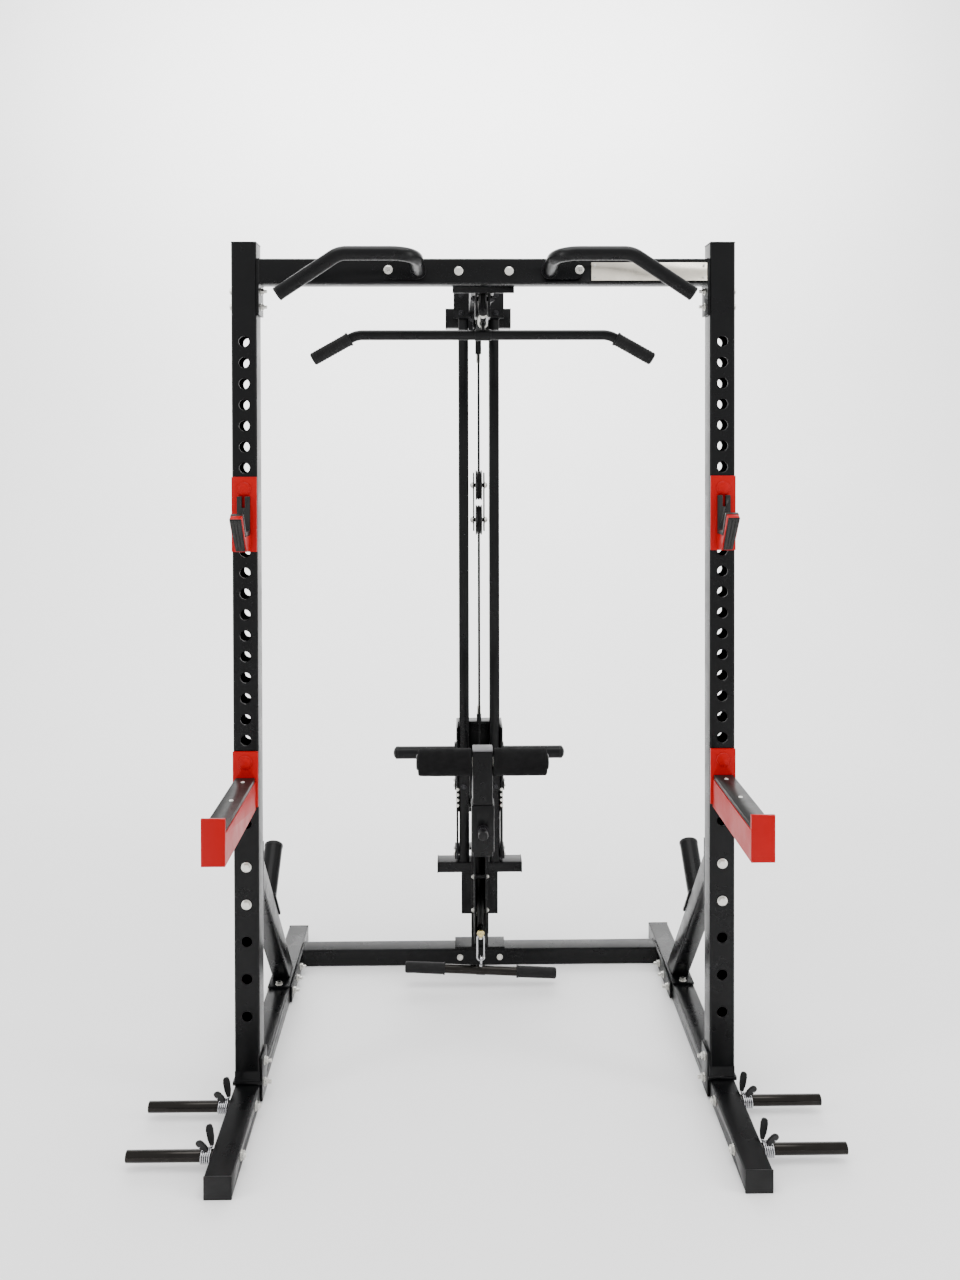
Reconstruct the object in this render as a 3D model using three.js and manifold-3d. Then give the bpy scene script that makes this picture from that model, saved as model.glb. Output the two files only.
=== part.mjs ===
// Half rack with a lat pulldown and low row tower: a standalone three.js model in millimetres, +Z up.
// Working coordinates inside the rack: x = 0 on the centre plane, y = 0 on the front faces of the
// uprights with the back of the rack towards +y, z = 0 on the floor. The exported group moves y so
// that the origin is at the middle of the footprint.
import * as THREE from "three";
import { mergeVertices } from "three/addons/utils/BufferGeometryUtils.js";
import Module from "manifold-3d";

const wasm = await Module();
wasm.setup();

// ---------------------------------------------------------------- driving dimensions
const GAP = 0.3; // between pieces that touch
const TUBE = 60; // main square tube
const WALL = 3;
const CORNER = 5; // outside corner radius of the tube
const PLATE = 6; // mounting plates
const RACK_WIDTH = 1200; // over the outer faces of the uprights
const POST_X = (RACK_WIDTH - TUBE) / 2;
const INNER_X = POST_X - TUBE / 2;
const POST_TOP = 2062;
const POST_FOOT = 81;
const CAP = 4;
const VENT_RADIUS = 12; // hole that opens a plated tube end

const RAIL_HEIGHT = 50;
const RAIL_FRONT = -317;
const RAIL_BACK = 826;
const ARM_FRONT = -342; // front of the spotter arms
const MIDDLE_Y = (ARM_FRONT + RAIL_BACK) / 2;

const HOLE_RADIUS = 12.5;
const HOLE_PITCH = 50;
const HOLE_FIRST = 675;
const HOLE_COUNT = 24;
const LOW_HOLES = [212, 302, 392];

const BEAM_LOW = 1962;
const BEAM_MIDDLE = BEAM_LOW + TUBE / 2;
const BEAM_HIGH = BEAM_LOW + TUBE;
const BEAM_EAR_LOW = 1888;

const CROSS_FRONT = 660;
const CROSS_BACK = CROSS_FRONT + TUBE;
const CROSS_EAR_FRONT = 455;

const BRACE_TOP = { y: 60, z: 557 };
const BRACE_FOOT = { y: 525, z: 50 };
const BRACE_SIZE = 50;

const PEG_RADIUS = 12.5;
const PEG_END = 790;
const PEG_Z = 30;
const PEG_Y = [-221, -50];

const HANDLE_ROOT_X = 156; // pull-up handle
const HANDLE_ROOT_Y = -3.2;
const HANDLE_ROOT_Z = 1993.3;
const HANDLE_FRONT = -165;
const HANDLE_Z = 2006.4;
const HANDLE_BEND_X = 326;
const HANDLE_TIP_X = 463;
const HANDLE_TIP_Z = 1915;
const HANDLE_RADIUS = 16;
const HANDLE_BEND = 55; // radius of its corners along the centre line
const HANDLE_PLATE_X = 186;
const HANDLE_PLATE_Z = 1994;

const CUP_HOLE = 1475;
const ARM_HOLE = 825;
const PIN_RADIUS = 11.6;
const CUP_LOW = 1326; // J-cup plate
const CUP_HIGH = 1504;
const HOOK_HALF = 14; // half width of the J-cup's hook
const SADDLE_Z = 1378; // floor of the J-cup's liner
const ARM_PLATE_LOW = 718;
const ARM_PLATE_HIGH = 850;
const ARM_LOW = 712;
const ARM_HIGH = 778;
const ARM_HALF = 25;
const STOP_HIGH = 811; // top of the plate at the spotter arm's end
const LINER = 10; // thickness of the spotter arm's liner

const GUIDE_INNER = 31;
const GUIDE_WIDTH = 30;
const GUIDE_OUTER = GUIDE_INNER + GUIDE_WIDTH;
const GUIDE_TOP = BEAM_HIGH + 8;
const SHELF_LOW = 281; // lower cross tube of the tower
const SHELF_HIGH = 313;

const PULLEY_RIM = 46;
const PULLEY_PITCH = 42; // radius of the cable's centreline
const PULLEY_HALF = 11;
const AXLE = 6;
const CABLE = 2.8;
const TOWER_Y = 690;
const FRONT_RUN = TOWER_Y - PULLEY_PITCH; // y of the cable runs in front of the floating block
const BACK_RUN = TOWER_Y + PULLEY_PITCH;
const DROP_Y = 110; // y where the lat bar hangs
const TOP_PULLEY_Z = 1945;
const TOP_FRONT_Y = DROP_Y + PULLEY_PITCH;
const TOP_REAR_Y = FRONT_RUN - PULLEY_PITCH;
const BLOCK_UPPER_Z = 1450;
const BLOCK_LOWER_Z = 1345;
const LOW_PULLEY_Z = 192;
const ANCHOR_LOW = 1850;

const CARRIAGE_LOW = 325;
const CARRIAGE_HIGH = 722;
const HORN_Z = 621;
const HORN_Y = 745;
const HORN_RADIUS = 19;
const HORN_END = 264;

const LAT_Z = 1850;
const BAR_RADIUS = 12.5;
const ROW_Y = 540;
const ROW_Z = 47;
const ROW_TILT = -0.05; // the handle hangs a little lower on its right

const KNEE_Y = 255;
const KNEE_AXLE_Z = 742;
const ROLLER_RADIUS = 36;
const SLEEVE_LOW = 514;
const SLEEVE_HIGH = 636;
const PULL_PIN_Z = 572;

// ---------------------------------------------------------------- materials
function paint(color, roughness, metalness) {
  return new THREE.MeshStandardMaterial({ color, roughness, metalness });
}
const blackPaint = () => paint(0x0d0e10, 0.35, 0.3);
const redPaint = () => paint(0xd8060c, 0.35, 0.2);
const blackPlastic = () => paint(0x151515, 0.6, 0);
const darkPlastic = () => paint(0x2b2a28, 0.55, 0);
const chrome = () => paint(0xd8d8d8, 0.12, 1);
const steel = () => paint(0xb8b6ae, 0.35, 0.9);
const foam = () => paint(0x1c1c1d, 0.95, 0);
const cableCoat = () => paint(0x101010, 0.45, 0);

// ---------------------------------------------------------------- solids
function solid(geometry) {
  const bare = geometry.clone();
  bare.deleteAttribute("normal");
  bare.deleteAttribute("uv");
  const merged = mergeVertices(bare, 1e-3);
  const vertProperties = merged.attributes.position.array;
  const triVerts = new Uint32Array(merged.index.array);
  return new wasm.Manifold(new wasm.Mesh({ numProp: 3, vertProperties, triVerts }));
}

function join(...solids) {
  return solids.reduce((sum, next) => sum.add(next));
}

function cut(body, ...tools) {
  return tools.reduce((rest, tool) => rest.subtract(tool), body);
}

function geometryOf(manifold) {
  const mesh = manifold.getMesh();
  const geometry = new THREE.BufferGeometry();
  geometry.setAttribute("position", new THREE.BufferAttribute(mesh.vertProperties, 3));
  geometry.setIndex(new THREE.BufferAttribute(mesh.triVerts, 1));
  const flat = geometry.toNonIndexed();
  flat.computeVertexNormals();
  return flat;
}

// A box from its two opposite corners.
function box([x0, y0, z0], [x1, y1, z1]) {
  const geometry = new THREE.BoxGeometry(Math.abs(x1 - x0), y1 - y0, z1 - z0);
  geometry.translate((x0 + x1) / 2, (y0 + y1) / 2, (z0 + z1) / 2);
  return solid(geometry);
}

// A round bar between two points.
function rod(from, to, radius, sides = 16, endRadius = radius) {
  const a = new THREE.Vector3(...from);
  const b = new THREE.Vector3(...to);
  const geometry = new THREE.CylinderGeometry(endRadius, radius, a.distanceTo(b), sides);
  const turn = new THREE.Quaternion();
  turn.setFromUnitVectors(new THREE.Vector3(0, 1, 0), b.clone().sub(a).normalize());
  geometry.applyQuaternion(turn);
  geometry.translate(...a.add(b).multiplyScalar(0.5).toArray());
  return solid(geometry);
}

function ball(centre, radius, sides = 12) {
  const geometry = new THREE.SphereGeometry(radius, sides, sides / 2);
  geometry.translate(...centre);
  return solid(geometry);
}

function roundedRectangle(width, height, radius) {
  const shape = new THREE.Shape();
  const x = width / 2 - radius;
  const y = height / 2 - radius;
  shape.absarc(x, y, radius, 0, Math.PI / 2);
  shape.absarc(-x, y, radius, Math.PI / 2, Math.PI);
  shape.absarc(-x, -y, radius, Math.PI, 1.5 * Math.PI);
  shape.absarc(x, -y, radius, 1.5 * Math.PI, 2 * Math.PI);
  return shape;
}

// A rectangular tube along x, y or z, open at both ends, centred on (cx, cy, cz).
function tube(axis, [cx, cy, cz], width, height, length, wall = WALL, corner = CORNER) {
  const options = { depth: length, bevelEnabled: false, curveSegments: 1 };
  const outside = new THREE.ExtrudeGeometry(roundedRectangle(width, height, corner), options);
  const hollow = new THREE.BoxGeometry(width - 2 * wall, height - 2 * wall, length + 2);
  hollow.translate(0, 0, length / 2);
  const body = cut(solid(outside), solid(hollow));
  const geometry = geometryOf(body);
  geometry.translate(0, 0, -length / 2);
  if (axis === "x") {
    geometry.rotateX(Math.PI / 2);
    geometry.rotateZ(Math.PI / 2);
  }
  if (axis === "y") {
    geometry.rotateX(Math.PI / 2);
  }
  geometry.translate(cx, cy, cz);
  return solid(geometry);
}

// An outline in the y-z plane, given as [y, z] points, as thick as the stretch from x0 to x1.
function profile(points, x0, x1) {
  const shape = new THREE.Shape(points.map(([y, z]) => new THREE.Vector2(y, z)));
  const options = { depth: Math.abs(x1 - x0), bevelEnabled: false };
  const geometry = new THREE.ExtrudeGeometry(shape, options);
  const axes = new THREE.Matrix4().set(0, 0, 1, Math.min(x0, x1), 1, 0, 0, 0, 0, 1, 0, 0, 0, 0, 0, 1);
  geometry.applyMatrix4(axes);
  return solid(geometry);
}

// A path through stations: its points are used as they are, one sweep step between each two.
class Route extends THREE.Curve {
  constructor(stations) {
    super();
    this.stations = stations.map((p) => new THREE.Vector3(...p));
  }

  getPoint(t) {
    const last = this.stations.length - 1;
    const place = Math.min(Math.max(t, 0), 1) * last;
    const i = Math.min(Math.floor(place), last - 1);
    return this.stations[i].clone().lerp(this.stations[i + 1], place - i);
  }

  getPointAt(u) {
    return this.getPoint(u);
  }

  getSpacedPoints() {
    return this.stations;
  }

  getTangentAt(u) {
    const last = this.stations.length - 1;
    const i = Math.round(u * last);
    const before = this.stations[Math.max(i - 1, 0)];
    const after = this.stations[Math.min(i + 1, last)];
    return after.clone().sub(before).normalize();
  }
}

// A round bar swept along stations.
function sweep(stations, radius, sides = 12) {
  const section = new THREE.Shape();
  section.absarc(0, 0, radius, 0, 2 * Math.PI);
  const options = {
    steps: stations.length - 1,
    curveSegments: sides / 2,
    extrudePath: new Route(stations),
  };
  return solid(new THREE.ExtrudeGeometry(section, options));
}

// Stations through corner points, with each inner corner rounded to an arc.
function bend(corners, radius, steps = 6) {
  const points = corners.map((p) => new THREE.Vector3(...p));
  const stations = [points[0].toArray()];
  for (let i = 1; i < points.length - 1; i += 1) {
    const back = points[i - 1].clone().sub(points[i]).normalize();
    const ahead = points[i + 1].clone().sub(points[i]).normalize();
    const half = back.angleTo(ahead) / 2;
    const reach = radius / Math.tan(half);
    const inward = back.clone().add(ahead).normalize();
    const centre = points[i].clone().addScaledVector(inward, radius / Math.sin(half));
    const start = points[i].clone().addScaledVector(back, reach).sub(centre);
    const end = points[i].clone().addScaledVector(ahead, reach).sub(centre);
    const normal = start.clone().cross(end).normalize();
    for (let k = 0; k <= steps; k += 1) {
      const spoke = start.clone().applyAxisAngle(normal, (k / steps) * (Math.PI - 2 * half));
      stations.push(spoke.add(centre).toArray());
    }
  }
  stations.push(points[points.length - 1].toArray());
  return stations;
}

// Stations round a pulley in the plane x = 0, from one angle to another in degrees.
function wrap(y, z, from, to, steps = 5) {
  const stations = [];
  for (let k = 0; k <= steps; k += 1) {
    const angle = THREE.MathUtils.degToRad(from + ((to - from) * k) / steps);
    stations.push([0, y + PULLEY_PITCH * Math.cos(angle), z + PULLEY_PITCH * Math.sin(angle)]);
  }
  return stations;
}

// ---------------------------------------------------------------- the assembly
const rack = new THREE.Group();
rack.position.y = -MIDDLE_Y;

function addPart(name, body, material) {
  const mesh = new THREE.Mesh(geometryOf(body), material);
  mesh.name = name;
  rack.add(mesh);
}

const SIDES = [
  ["left", -1],
  ["right", 1],
];

// Upright: square tube with through holes from front to back, and an end cap.
function upright(s) {
  const height = POST_TOP - CAP - POST_FOOT;
  const centre = [s * POST_X, TUBE / 2, POST_FOOT + height / 2];
  const heights = [...LOW_HOLES];
  for (let k = 0; k < HOLE_COUNT; k += 1) {
    heights.push(HOLE_FIRST + k * HOLE_PITCH);
  }
  const drills = heights.map((z) => rod([s * POST_X, -1, z], [s * POST_X, TUBE + 1, z], HOLE_RADIUS, 8));
  return cut(tube("z", centre, TUBE, TUBE, height), ...drills);
}

function uprightCap(s) {
  const x = s * POST_X;
  const plug = TUBE / 2 - WALL - 2 * GAP;
  const lid = box([x - 30, 0, POST_TOP - CAP + GAP], [x + 30, TUBE, POST_TOP]);
  const stem = box([x - plug, TUBE / 2 - plug, POST_TOP - 25], [x + plug, TUBE / 2 + plug, POST_TOP - 1]);
  return join(lid, stem);
}

// Base rail: flat tube on the floor, drilled for the two band pegs.
function baseRail(s) {
  const length = RAIL_BACK - RAIL_FRONT - 2 * CAP;
  const centre = [s * POST_X, (RAIL_FRONT + RAIL_BACK) / 2, RAIL_HEIGHT / 2];
  const drills = PEG_Y.map((y) => rod([s * (INNER_X - 1), y, PEG_Z], [s * (POST_X + 31), y, PEG_Z], 6.5, 12));
  return cut(tube("y", centre, TUBE, RAIL_HEIGHT, length), ...drills);
}

function railCap(s, end) {
  const face = end > 0 ? RAIL_BACK : RAIL_FRONT;
  const x = s * POST_X;
  const inner = face - end * (CAP - GAP);
  const lid = box([x - 30, Math.min(face, inner), 0], [x + 30, Math.max(face, inner), RAIL_HEIGHT]);
  const deep = face - end * 28;
  const half = TUBE / 2 - WALL - 2 * GAP;
  const plug = box(
    [x - half, Math.min(inner, deep) - 0.1, WALL + 2 * GAP],
    [x + half, Math.max(inner, deep) + 0.1, RAIL_HEIGHT - WALL - 2 * GAP],
  );
  return join(lid, plug);
}

// Base bracket: saddle plate on the rail, stub under the upright and a side plate for the bolts.
function baseBracket(s) {
  const x = s * POST_X;
  const saddle = box([x - 34, -5, RAIL_HEIGHT + GAP], [x + 34, 65, RAIL_HEIGHT + 8]);
  const stub = box([x - 30, 0, RAIL_HEIGHT + 8 - 0.1], [x + 30, TUBE, POST_FOOT - GAP]);
  const insert = box([x - 25, 5, POST_FOOT - 1], [x + 25, TUBE - 5, 140]);
  const near = s * (INNER_X - GAP);
  const far = s * (INNER_X - PLATE);
  const side = box([Math.min(near, far), 0, 8], [Math.max(near, far), TUBE, 112]);
  return join(saddle, stub, insert, side);
}

// Top beam with an ear at each end, bolted against the inner faces of the uprights.
function topBeam() {
  const beam = tube("x", [0, TUBE / 2, BEAM_MIDDLE], TUBE, TUBE, 2 * (INNER_X - PLATE) + 0.2);
  const ears = SIDES.map(([, s]) => {
    const xs = [s * (INNER_X - PLATE), s * (INNER_X - GAP)].sort((a, b) => a - b);
    return box([xs[0], 0, BEAM_EAR_LOW], [xs[1], TUBE, BEAM_HIGH]);
  });
  const from = [-INNER_X - 1, TUBE / 2, BEAM_MIDDLE];
  const to = [INNER_X + 1, TUBE / 2, BEAM_MIDDLE];
  const vent = rod(from, to, VENT_RADIUS, 12);
  return cut(join(beam, ...ears), vent);
}

// Rear crossmember on the floor, with plates reaching forward along the rails.
function rearCrossmember() {
  const centre = [0, (CROSS_FRONT + CROSS_BACK) / 2, RAIL_HEIGHT / 2];
  const beam = tube("x", centre, TUBE, RAIL_HEIGHT, 2 * (INNER_X - PLATE) + 0.2);
  const ears = SIDES.map(([, s]) => {
    const xs = [s * (INNER_X - PLATE), s * (INNER_X - GAP)].sort((a, b) => a - b);
    return box([xs[0], CROSS_EAR_FRONT, 4], [xs[1], CROSS_BACK, RAIL_HEIGHT - 3]);
  });
  const [, y, z] = centre;
  const vent = rod([-INNER_X - 1, y, z], [INNER_X + 1, y, z], VENT_RADIUS, 12);
  return cut(join(beam, ...ears), vent);
}

// Unit vectors in the y-z plane: down along the brace, and out of its upper face.
const BRACE_RUN = Math.hypot(BRACE_FOOT.y - BRACE_TOP.y, BRACE_FOOT.z - BRACE_TOP.z);
const ALONG = {
  y: (BRACE_FOOT.y - BRACE_TOP.y) / BRACE_RUN,
  z: (BRACE_FOOT.z - BRACE_TOP.z) / BRACE_RUN,
};
const OUT = { y: -ALONG.z, z: ALONG.y };

// Diagonal brace from the back of the upright down to the rail, with a plate at each end.
function brace(s) {
  const x = s * POST_X;
  const geometry = geometryOf(tube("y", [0, 0, 0], BRACE_SIZE, BRACE_SIZE, BRACE_RUN + 160));
  geometry.rotateX(Math.atan2(ALONG.z, ALONG.y));
  geometry.translate(x, (BRACE_FOOT.y + BRACE_TOP.y) / 2, (BRACE_FOOT.z + BRACE_TOP.z) / 2);
  const room = box([x - 40, TUBE + GAP, RAIL_HEIGHT + GAP], [x + 40, 700, 700]);
  const diagonal = solid(geometry).intersect(room);
  const top = box([x - 30, TUBE + GAP, 445], [x + 30, TUBE + PLATE, 610]);
  const foot = box([x - 30, 440, RAIL_HEIGHT + GAP], [x + 30, 590, RAIL_HEIGHT + PLATE]);
  const vent = rod([x, BRACE_FOOT.y, 40], [x, BRACE_FOOT.y, 60], VENT_RADIUS, 12);
  return cut(join(diagonal, top, foot), vent);
}

// Plate storage sleeve, square to the brace, on a small flange.
function storagePeg(s) {
  const x = s * POST_X;
  const start = 272; // distance down the brace
  const at = (along, out) => [
    x,
    BRACE_TOP.y + ALONG.y * along + OUT.y * out,
    BRACE_TOP.z + ALONG.z * along + OUT.z * out,
  ];
  const face = BRACE_SIZE / 2 + GAP;
  const corners = [
    [start - 38, face],
    [start + 82, face],
    [start + 82, face + PLATE],
    [start - 38, face + PLATE],
  ];
  const flange = profile(corners.map(([a, o]) => at(a, o).slice(1)).reverse(), x - 28, x + 28);
  const sleeve = rod(at(start, face + PLATE - 1), at(start, 178), 24.5, 20);
  const cap = rod(at(start, 178 - 0.5), at(start, 188), 25, 20, 19);
  return join(flange, sleeve, cap);
}

// Pull-up handle: bent round bar on a rounded plate.
function pullUpHandle(s) {
  const outline = roundedRectangle(98, 44, 20);
  const geometry = new THREE.ExtrudeGeometry(outline, {
    depth: PLATE,
    bevelEnabled: false,
    curveSegments: 3,
  });
  geometry.rotateX(Math.PI / 2);
  geometry.translate(s * HANDLE_PLATE_X, -GAP, HANDLE_PLATE_Z);
  const corners = [
    [s * HANDLE_ROOT_X, HANDLE_ROOT_Y, HANDLE_ROOT_Z],
    [s * HANDLE_ROOT_X, HANDLE_FRONT, HANDLE_Z],
    [s * HANDLE_BEND_X, HANDLE_FRONT, HANDLE_Z],
    [s * HANDLE_TIP_X, HANDLE_FRONT, HANDLE_TIP_Z],
  ];
  return join(solid(geometry), sweep(bend(corners, HANDLE_BEND, 8), HANDLE_RADIUS, 16));
}

function nameplate() {
  return box([256, -2.3, BEAM_MIDDLE - 23], [INNER_X - PLATE - 2, -GAP, BEAM_MIDDLE + 20]);
}

// Band peg: round bar bolted to the rail through a stud, with its nut on the inner side.
function bandPeg(s, y) {
  const bar = rod([s * (POST_X + 30 + GAP), y, PEG_Z], [s * PEG_END, y, PEG_Z], PEG_RADIUS);
  const stud = rod([s * (INNER_X - 14), y, PEG_Z], [s * (POST_X + 32), y, PEG_Z], 5.8, 12);
  const nut = rod([s * (INNER_X - 11), y, PEG_Z], [s * (INNER_X - GAP), y, PEG_Z], 10.5, 6);
  return join(bar, stud, nut);
}

// Spring collar on a band peg: closed coil with two grips standing up from it.
function springCollar(s, y) {
  const x0 = s * (POST_X + 30 + 3);
  const x1 = x0 + s * 24;
  const coil = rod([x0, y, PEG_Z], [x1, y, PEG_Z], PEG_RADIUS + 4.6, 16);
  const bore = rod([x0 - s, y, PEG_Z], [x1 + s, y, PEG_Z], PEG_RADIUS + 0.4, 16);
  const ring = cut(coil, bore);
  const grips = [-1, 1].map((side) => {
    const root = [x0 + s * (12 + side * 8), y + side * 8, PEG_Z + PEG_RADIUS + 1];
    const tip = [x0 + s * (12 + side * 10), y + side * 26, PEG_Z + 64];
    return rod(root, tip, 4.5, 8, 6.5);
  });
  return join(ring, ...grips);
}

// J-cup: plate with a pin into the upright, and a narrow hook under the bar.
function jCup(s) {
  const x = s * POST_X;
  const plate = box([x - 30, -GAP - PLATE, CUP_LOW], [x + 30, -GAP, CUP_HIGH]);
  const pin = rod([x, -GAP - 1, CUP_HOLE], [x, 68, CUP_HOLE], PIN_RADIUS, 8);
  const boss = rod([x, -12, CUP_HOLE], [x, -GAP, CUP_HOLE], 13, 16);
  const floor = SADDLE_Z - 12;
  const hook = [
    [-5, CUP_LOW + 2],
    [-46, CUP_LOW + 4],
    [-106, 1411],
    [-93, 1418],
    [-63, floor],
    [-5, floor],
  ];
  return join(plate, pin, boss, profile(hook, x - HOOK_HALF, x + HOOK_HALF));
}

function jCupLiner(s) {
  const x = s * POST_X;
  const inner = -GAP - PLATE - GAP;
  const low = SADDLE_Z - 12 + GAP;
  const high = 1458;
  const outline = [
    [inner, low],
    [-62.6, low],
    [-92.6, 1418.3],
    [-83, 1422],
    [-57, SADDLE_Z],
    [-17, SADDLE_Z],
    [-17, high],
    [inner, high],
  ];
  const slot = box([x - 4, -20, high - 27], [x + 4, 0, high + 5]);
  return cut(profile(outline, x - HOOK_HALF - 1, x + HOOK_HALF + 1), slot);
}

// Spotter arm: plate with a pin, a box arm reaching forward and a stop plate at its end.
function spotterArm(s) {
  const x = s * POST_X;
  const plate = box([x - 30, -GAP - PLATE, ARM_PLATE_LOW], [x + 30, -GAP, ARM_PLATE_HIGH]);
  const pin = rod([x, -GAP - 1, ARM_HOLE], [x, 68, ARM_HOLE], PIN_RADIUS, 8);
  const boss = rod([x, -12, ARM_HOLE], [x, -GAP, ARM_HOLE], 13, 16);
  const arm = box([x - ARM_HALF, ARM_FRONT + 6, ARM_LOW], [x + ARM_HALF, -GAP - PLATE + 0.1, ARM_HIGH]);
  const stop = box([x - ARM_HALF, ARM_FRONT, ARM_LOW], [x + ARM_HALF, ARM_FRONT + 7, STOP_HIGH]);
  return join(plate, pin, boss, arm, stop);
}

function spotterLiner(s) {
  const x = s * POST_X;
  const half = ARM_HALF - 2;
  const low = [x - half, ARM_FRONT + 7 + GAP, ARM_HIGH + GAP];
  return box(low, [x + half, -GAP - PLATE - GAP, ARM_HIGH + LINER]);
}

// One guide tube of the tower, drilled for the bolts of its head and shelf.
function guideTube(s) {
  const height = GUIDE_TOP - SHELF_HIGH - GAP;
  const centre = [s * (GUIDE_INNER + GUIDE_WIDTH / 2), TOWER_Y, SHELF_HIGH + GAP + height / 2];
  return tube("z", centre, GUIDE_WIDTH, TUBE, height, 2.5, 4);
}

// Pair of cheeks with an axle between them, for a pulley centred on (y, z).
function cheeks(y, z, low, high, halfLength) {
  const plates = [-1, 1].map((side) => {
    const xs = [side * 14, side * 19].sort((a, b) => a - b);
    return box([xs[0], y - halfLength, low], [xs[1], y + halfLength, high]);
  });
  return join(...plates, rod([-22, y, z], [22, y, z], AXLE, 16));
}

// Top arm from the beam back to the tower, with the head of the tower and both top pulley mounts.
function topArm() {
  const front = TUBE + PLATE;
  const back = CROSS_FRONT - PLATE;
  const arm = tube("y", [0, (front + back) / 2, BEAM_MIDDLE], TUBE, TUBE, back - front + 0.4);
  const flange = box([-75, TUBE + GAP, BEAM_LOW - 14], [75, TUBE + PLATE, BEAM_HIGH]);
  const headPlate = box([-75, CROSS_FRONT - PLATE, BEAM_LOW - 10], [75, CROSS_FRONT - GAP, BEAM_HIGH + 8]);
  const frontSlot = box([-13.5, TOP_FRONT_Y - 60, BEAM_LOW - 1], [13.5, TOP_FRONT_Y + 50, BEAM_LOW + 5]);
  const rearSlot = box([-13.5, TOP_REAR_Y - 50, BEAM_LOW - 1], [13.5, CROSS_FRONT - 8, BEAM_LOW + 5]);
  const bridge = tube("x", [0, CROSS_BACK + 32, BEAM_LOW - 3], TUBE, TUBE, 194);
  const straps = [-1, 1].map((side) => {
    const xs = [side * (GUIDE_OUTER + GAP), side * (GUIDE_OUTER + 5)].sort((a, b) => a - b);
    return box([xs[0], CROSS_FRONT - 4, BEAM_LOW - 10], [xs[1], CROSS_BACK + 4, BEAM_HIGH + 8]);
  });
  const anchor = box([-4, BACK_RUN - 12, 1905], [4, BACK_RUN + 12, 1947]);
  const shackle = box([-9, BACK_RUN - 9, ANCHOR_LOW + GAP], [9, BACK_RUN + 9, 1908]);
  return join(
    cut(arm, frontSlot, rearSlot),
    flange,
    headPlate,
    bridge,
    ...straps,
    anchor,
    shackle,
    cheeks(TOP_FRONT_Y, TOP_PULLEY_Z, 1896, BEAM_LOW + 1, 34),
    cheeks(TOP_REAR_Y, TOP_PULLEY_Z, 1915, BEAM_LOW + 1, 34),
  );
}

// Base of the tower: plates on the crossmember, a post with gussets, and the shelf cross tube.
function towerBase() {
  const saddle = box([-75, CROSS_FRONT, RAIL_HEIGHT + GAP], [75, CROSS_BACK + PLATE, RAIL_HEIGHT + PLATE]);
  const backPlate = box([-75, CROSS_BACK + GAP, 6], [75, CROSS_BACK + PLATE, RAIL_HEIGHT + PLATE]);
  const post = box([-25, 668, RAIL_HEIGHT + 5], [25, 716, SHELF_LOW + 1]);
  const shelf = tube("x", [0, TOWER_Y, (SHELF_LOW + SHELF_HIGH) / 2], TUBE, SHELF_HIGH - SHELF_LOW, 250);
  const gussets = [-1, 1].map((side) => {
    const xs = [side * 24, side * 55].sort((a, b) => a - b);
    return box([xs[0], 680, 148], [xs[1], 700, SHELF_LOW + 1]);
  });
  return join(saddle, backPlate, post, shelf, ...gussets);
}

// Low pulley bracket: open channel on the front of the shelf.
function lowPulleyBracket() {
  const outline = [
    [654, 100],
    [622, 84],
    [575, 140],
    [562, 175],
    [562, 372],
    [575, 385],
    [654, 385],
  ];
  const plates = [-1, 1].map((side) => profile([...outline].reverse(), side * 14.5, side * 18.5));
  const web = box([-26, 653, 100], [26, CROSS_FRONT - GAP, 385]);
  const axle = rod([-22, TOP_REAR_Y, LOW_PULLEY_Z], [22, TOP_REAR_Y, LOW_PULLEY_Z], AXLE, 16);
  const spacer = rod([-22, TOP_REAR_Y, 292], [22, TOP_REAR_Y, 292], AXLE, 16);
  return join(...plates, web, axle, spacer);
}

// Pulley on the x axis, built by turning a grooved section.
function pulley(y, z) {
  const bore = AXLE + 0.5;
  const section = [
    [bore, -PULLEY_HALF],
    [PULLEY_RIM, -PULLEY_HALF + 1],
    [PULLEY_PITCH - CABLE - 0.6, -2],
    [PULLEY_PITCH - CABLE - 0.6, 2],
    [PULLEY_RIM, PULLEY_HALF - 1],
    [bore, PULLEY_HALF],
    [bore, -PULLEY_HALF],
  ];
  const points = section.map(([r, x]) => new THREE.Vector2(r, x));
  const geometry = new THREE.LatheGeometry(points, 20);
  geometry.rotateZ(Math.PI / 2);
  geometry.translate(0, y, z);
  return solid(geometry);
}

function floatingBlock() {
  const plates = [-1, 1].map((side) => {
    const xs = [side * 13.5, side * 17.5].sort((a, b) => a - b);
    return box([xs[0], TOWER_Y - 20, 1312], [xs[1], TOWER_Y + 20, 1488]);
  });
  const axles = [BLOCK_UPPER_Z, BLOCK_LOWER_Z].map((z) => rod([-21, TOWER_Y, z], [21, TOWER_Y, z], AXLE, 16));
  return join(...plates, ...axles);
}

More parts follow.
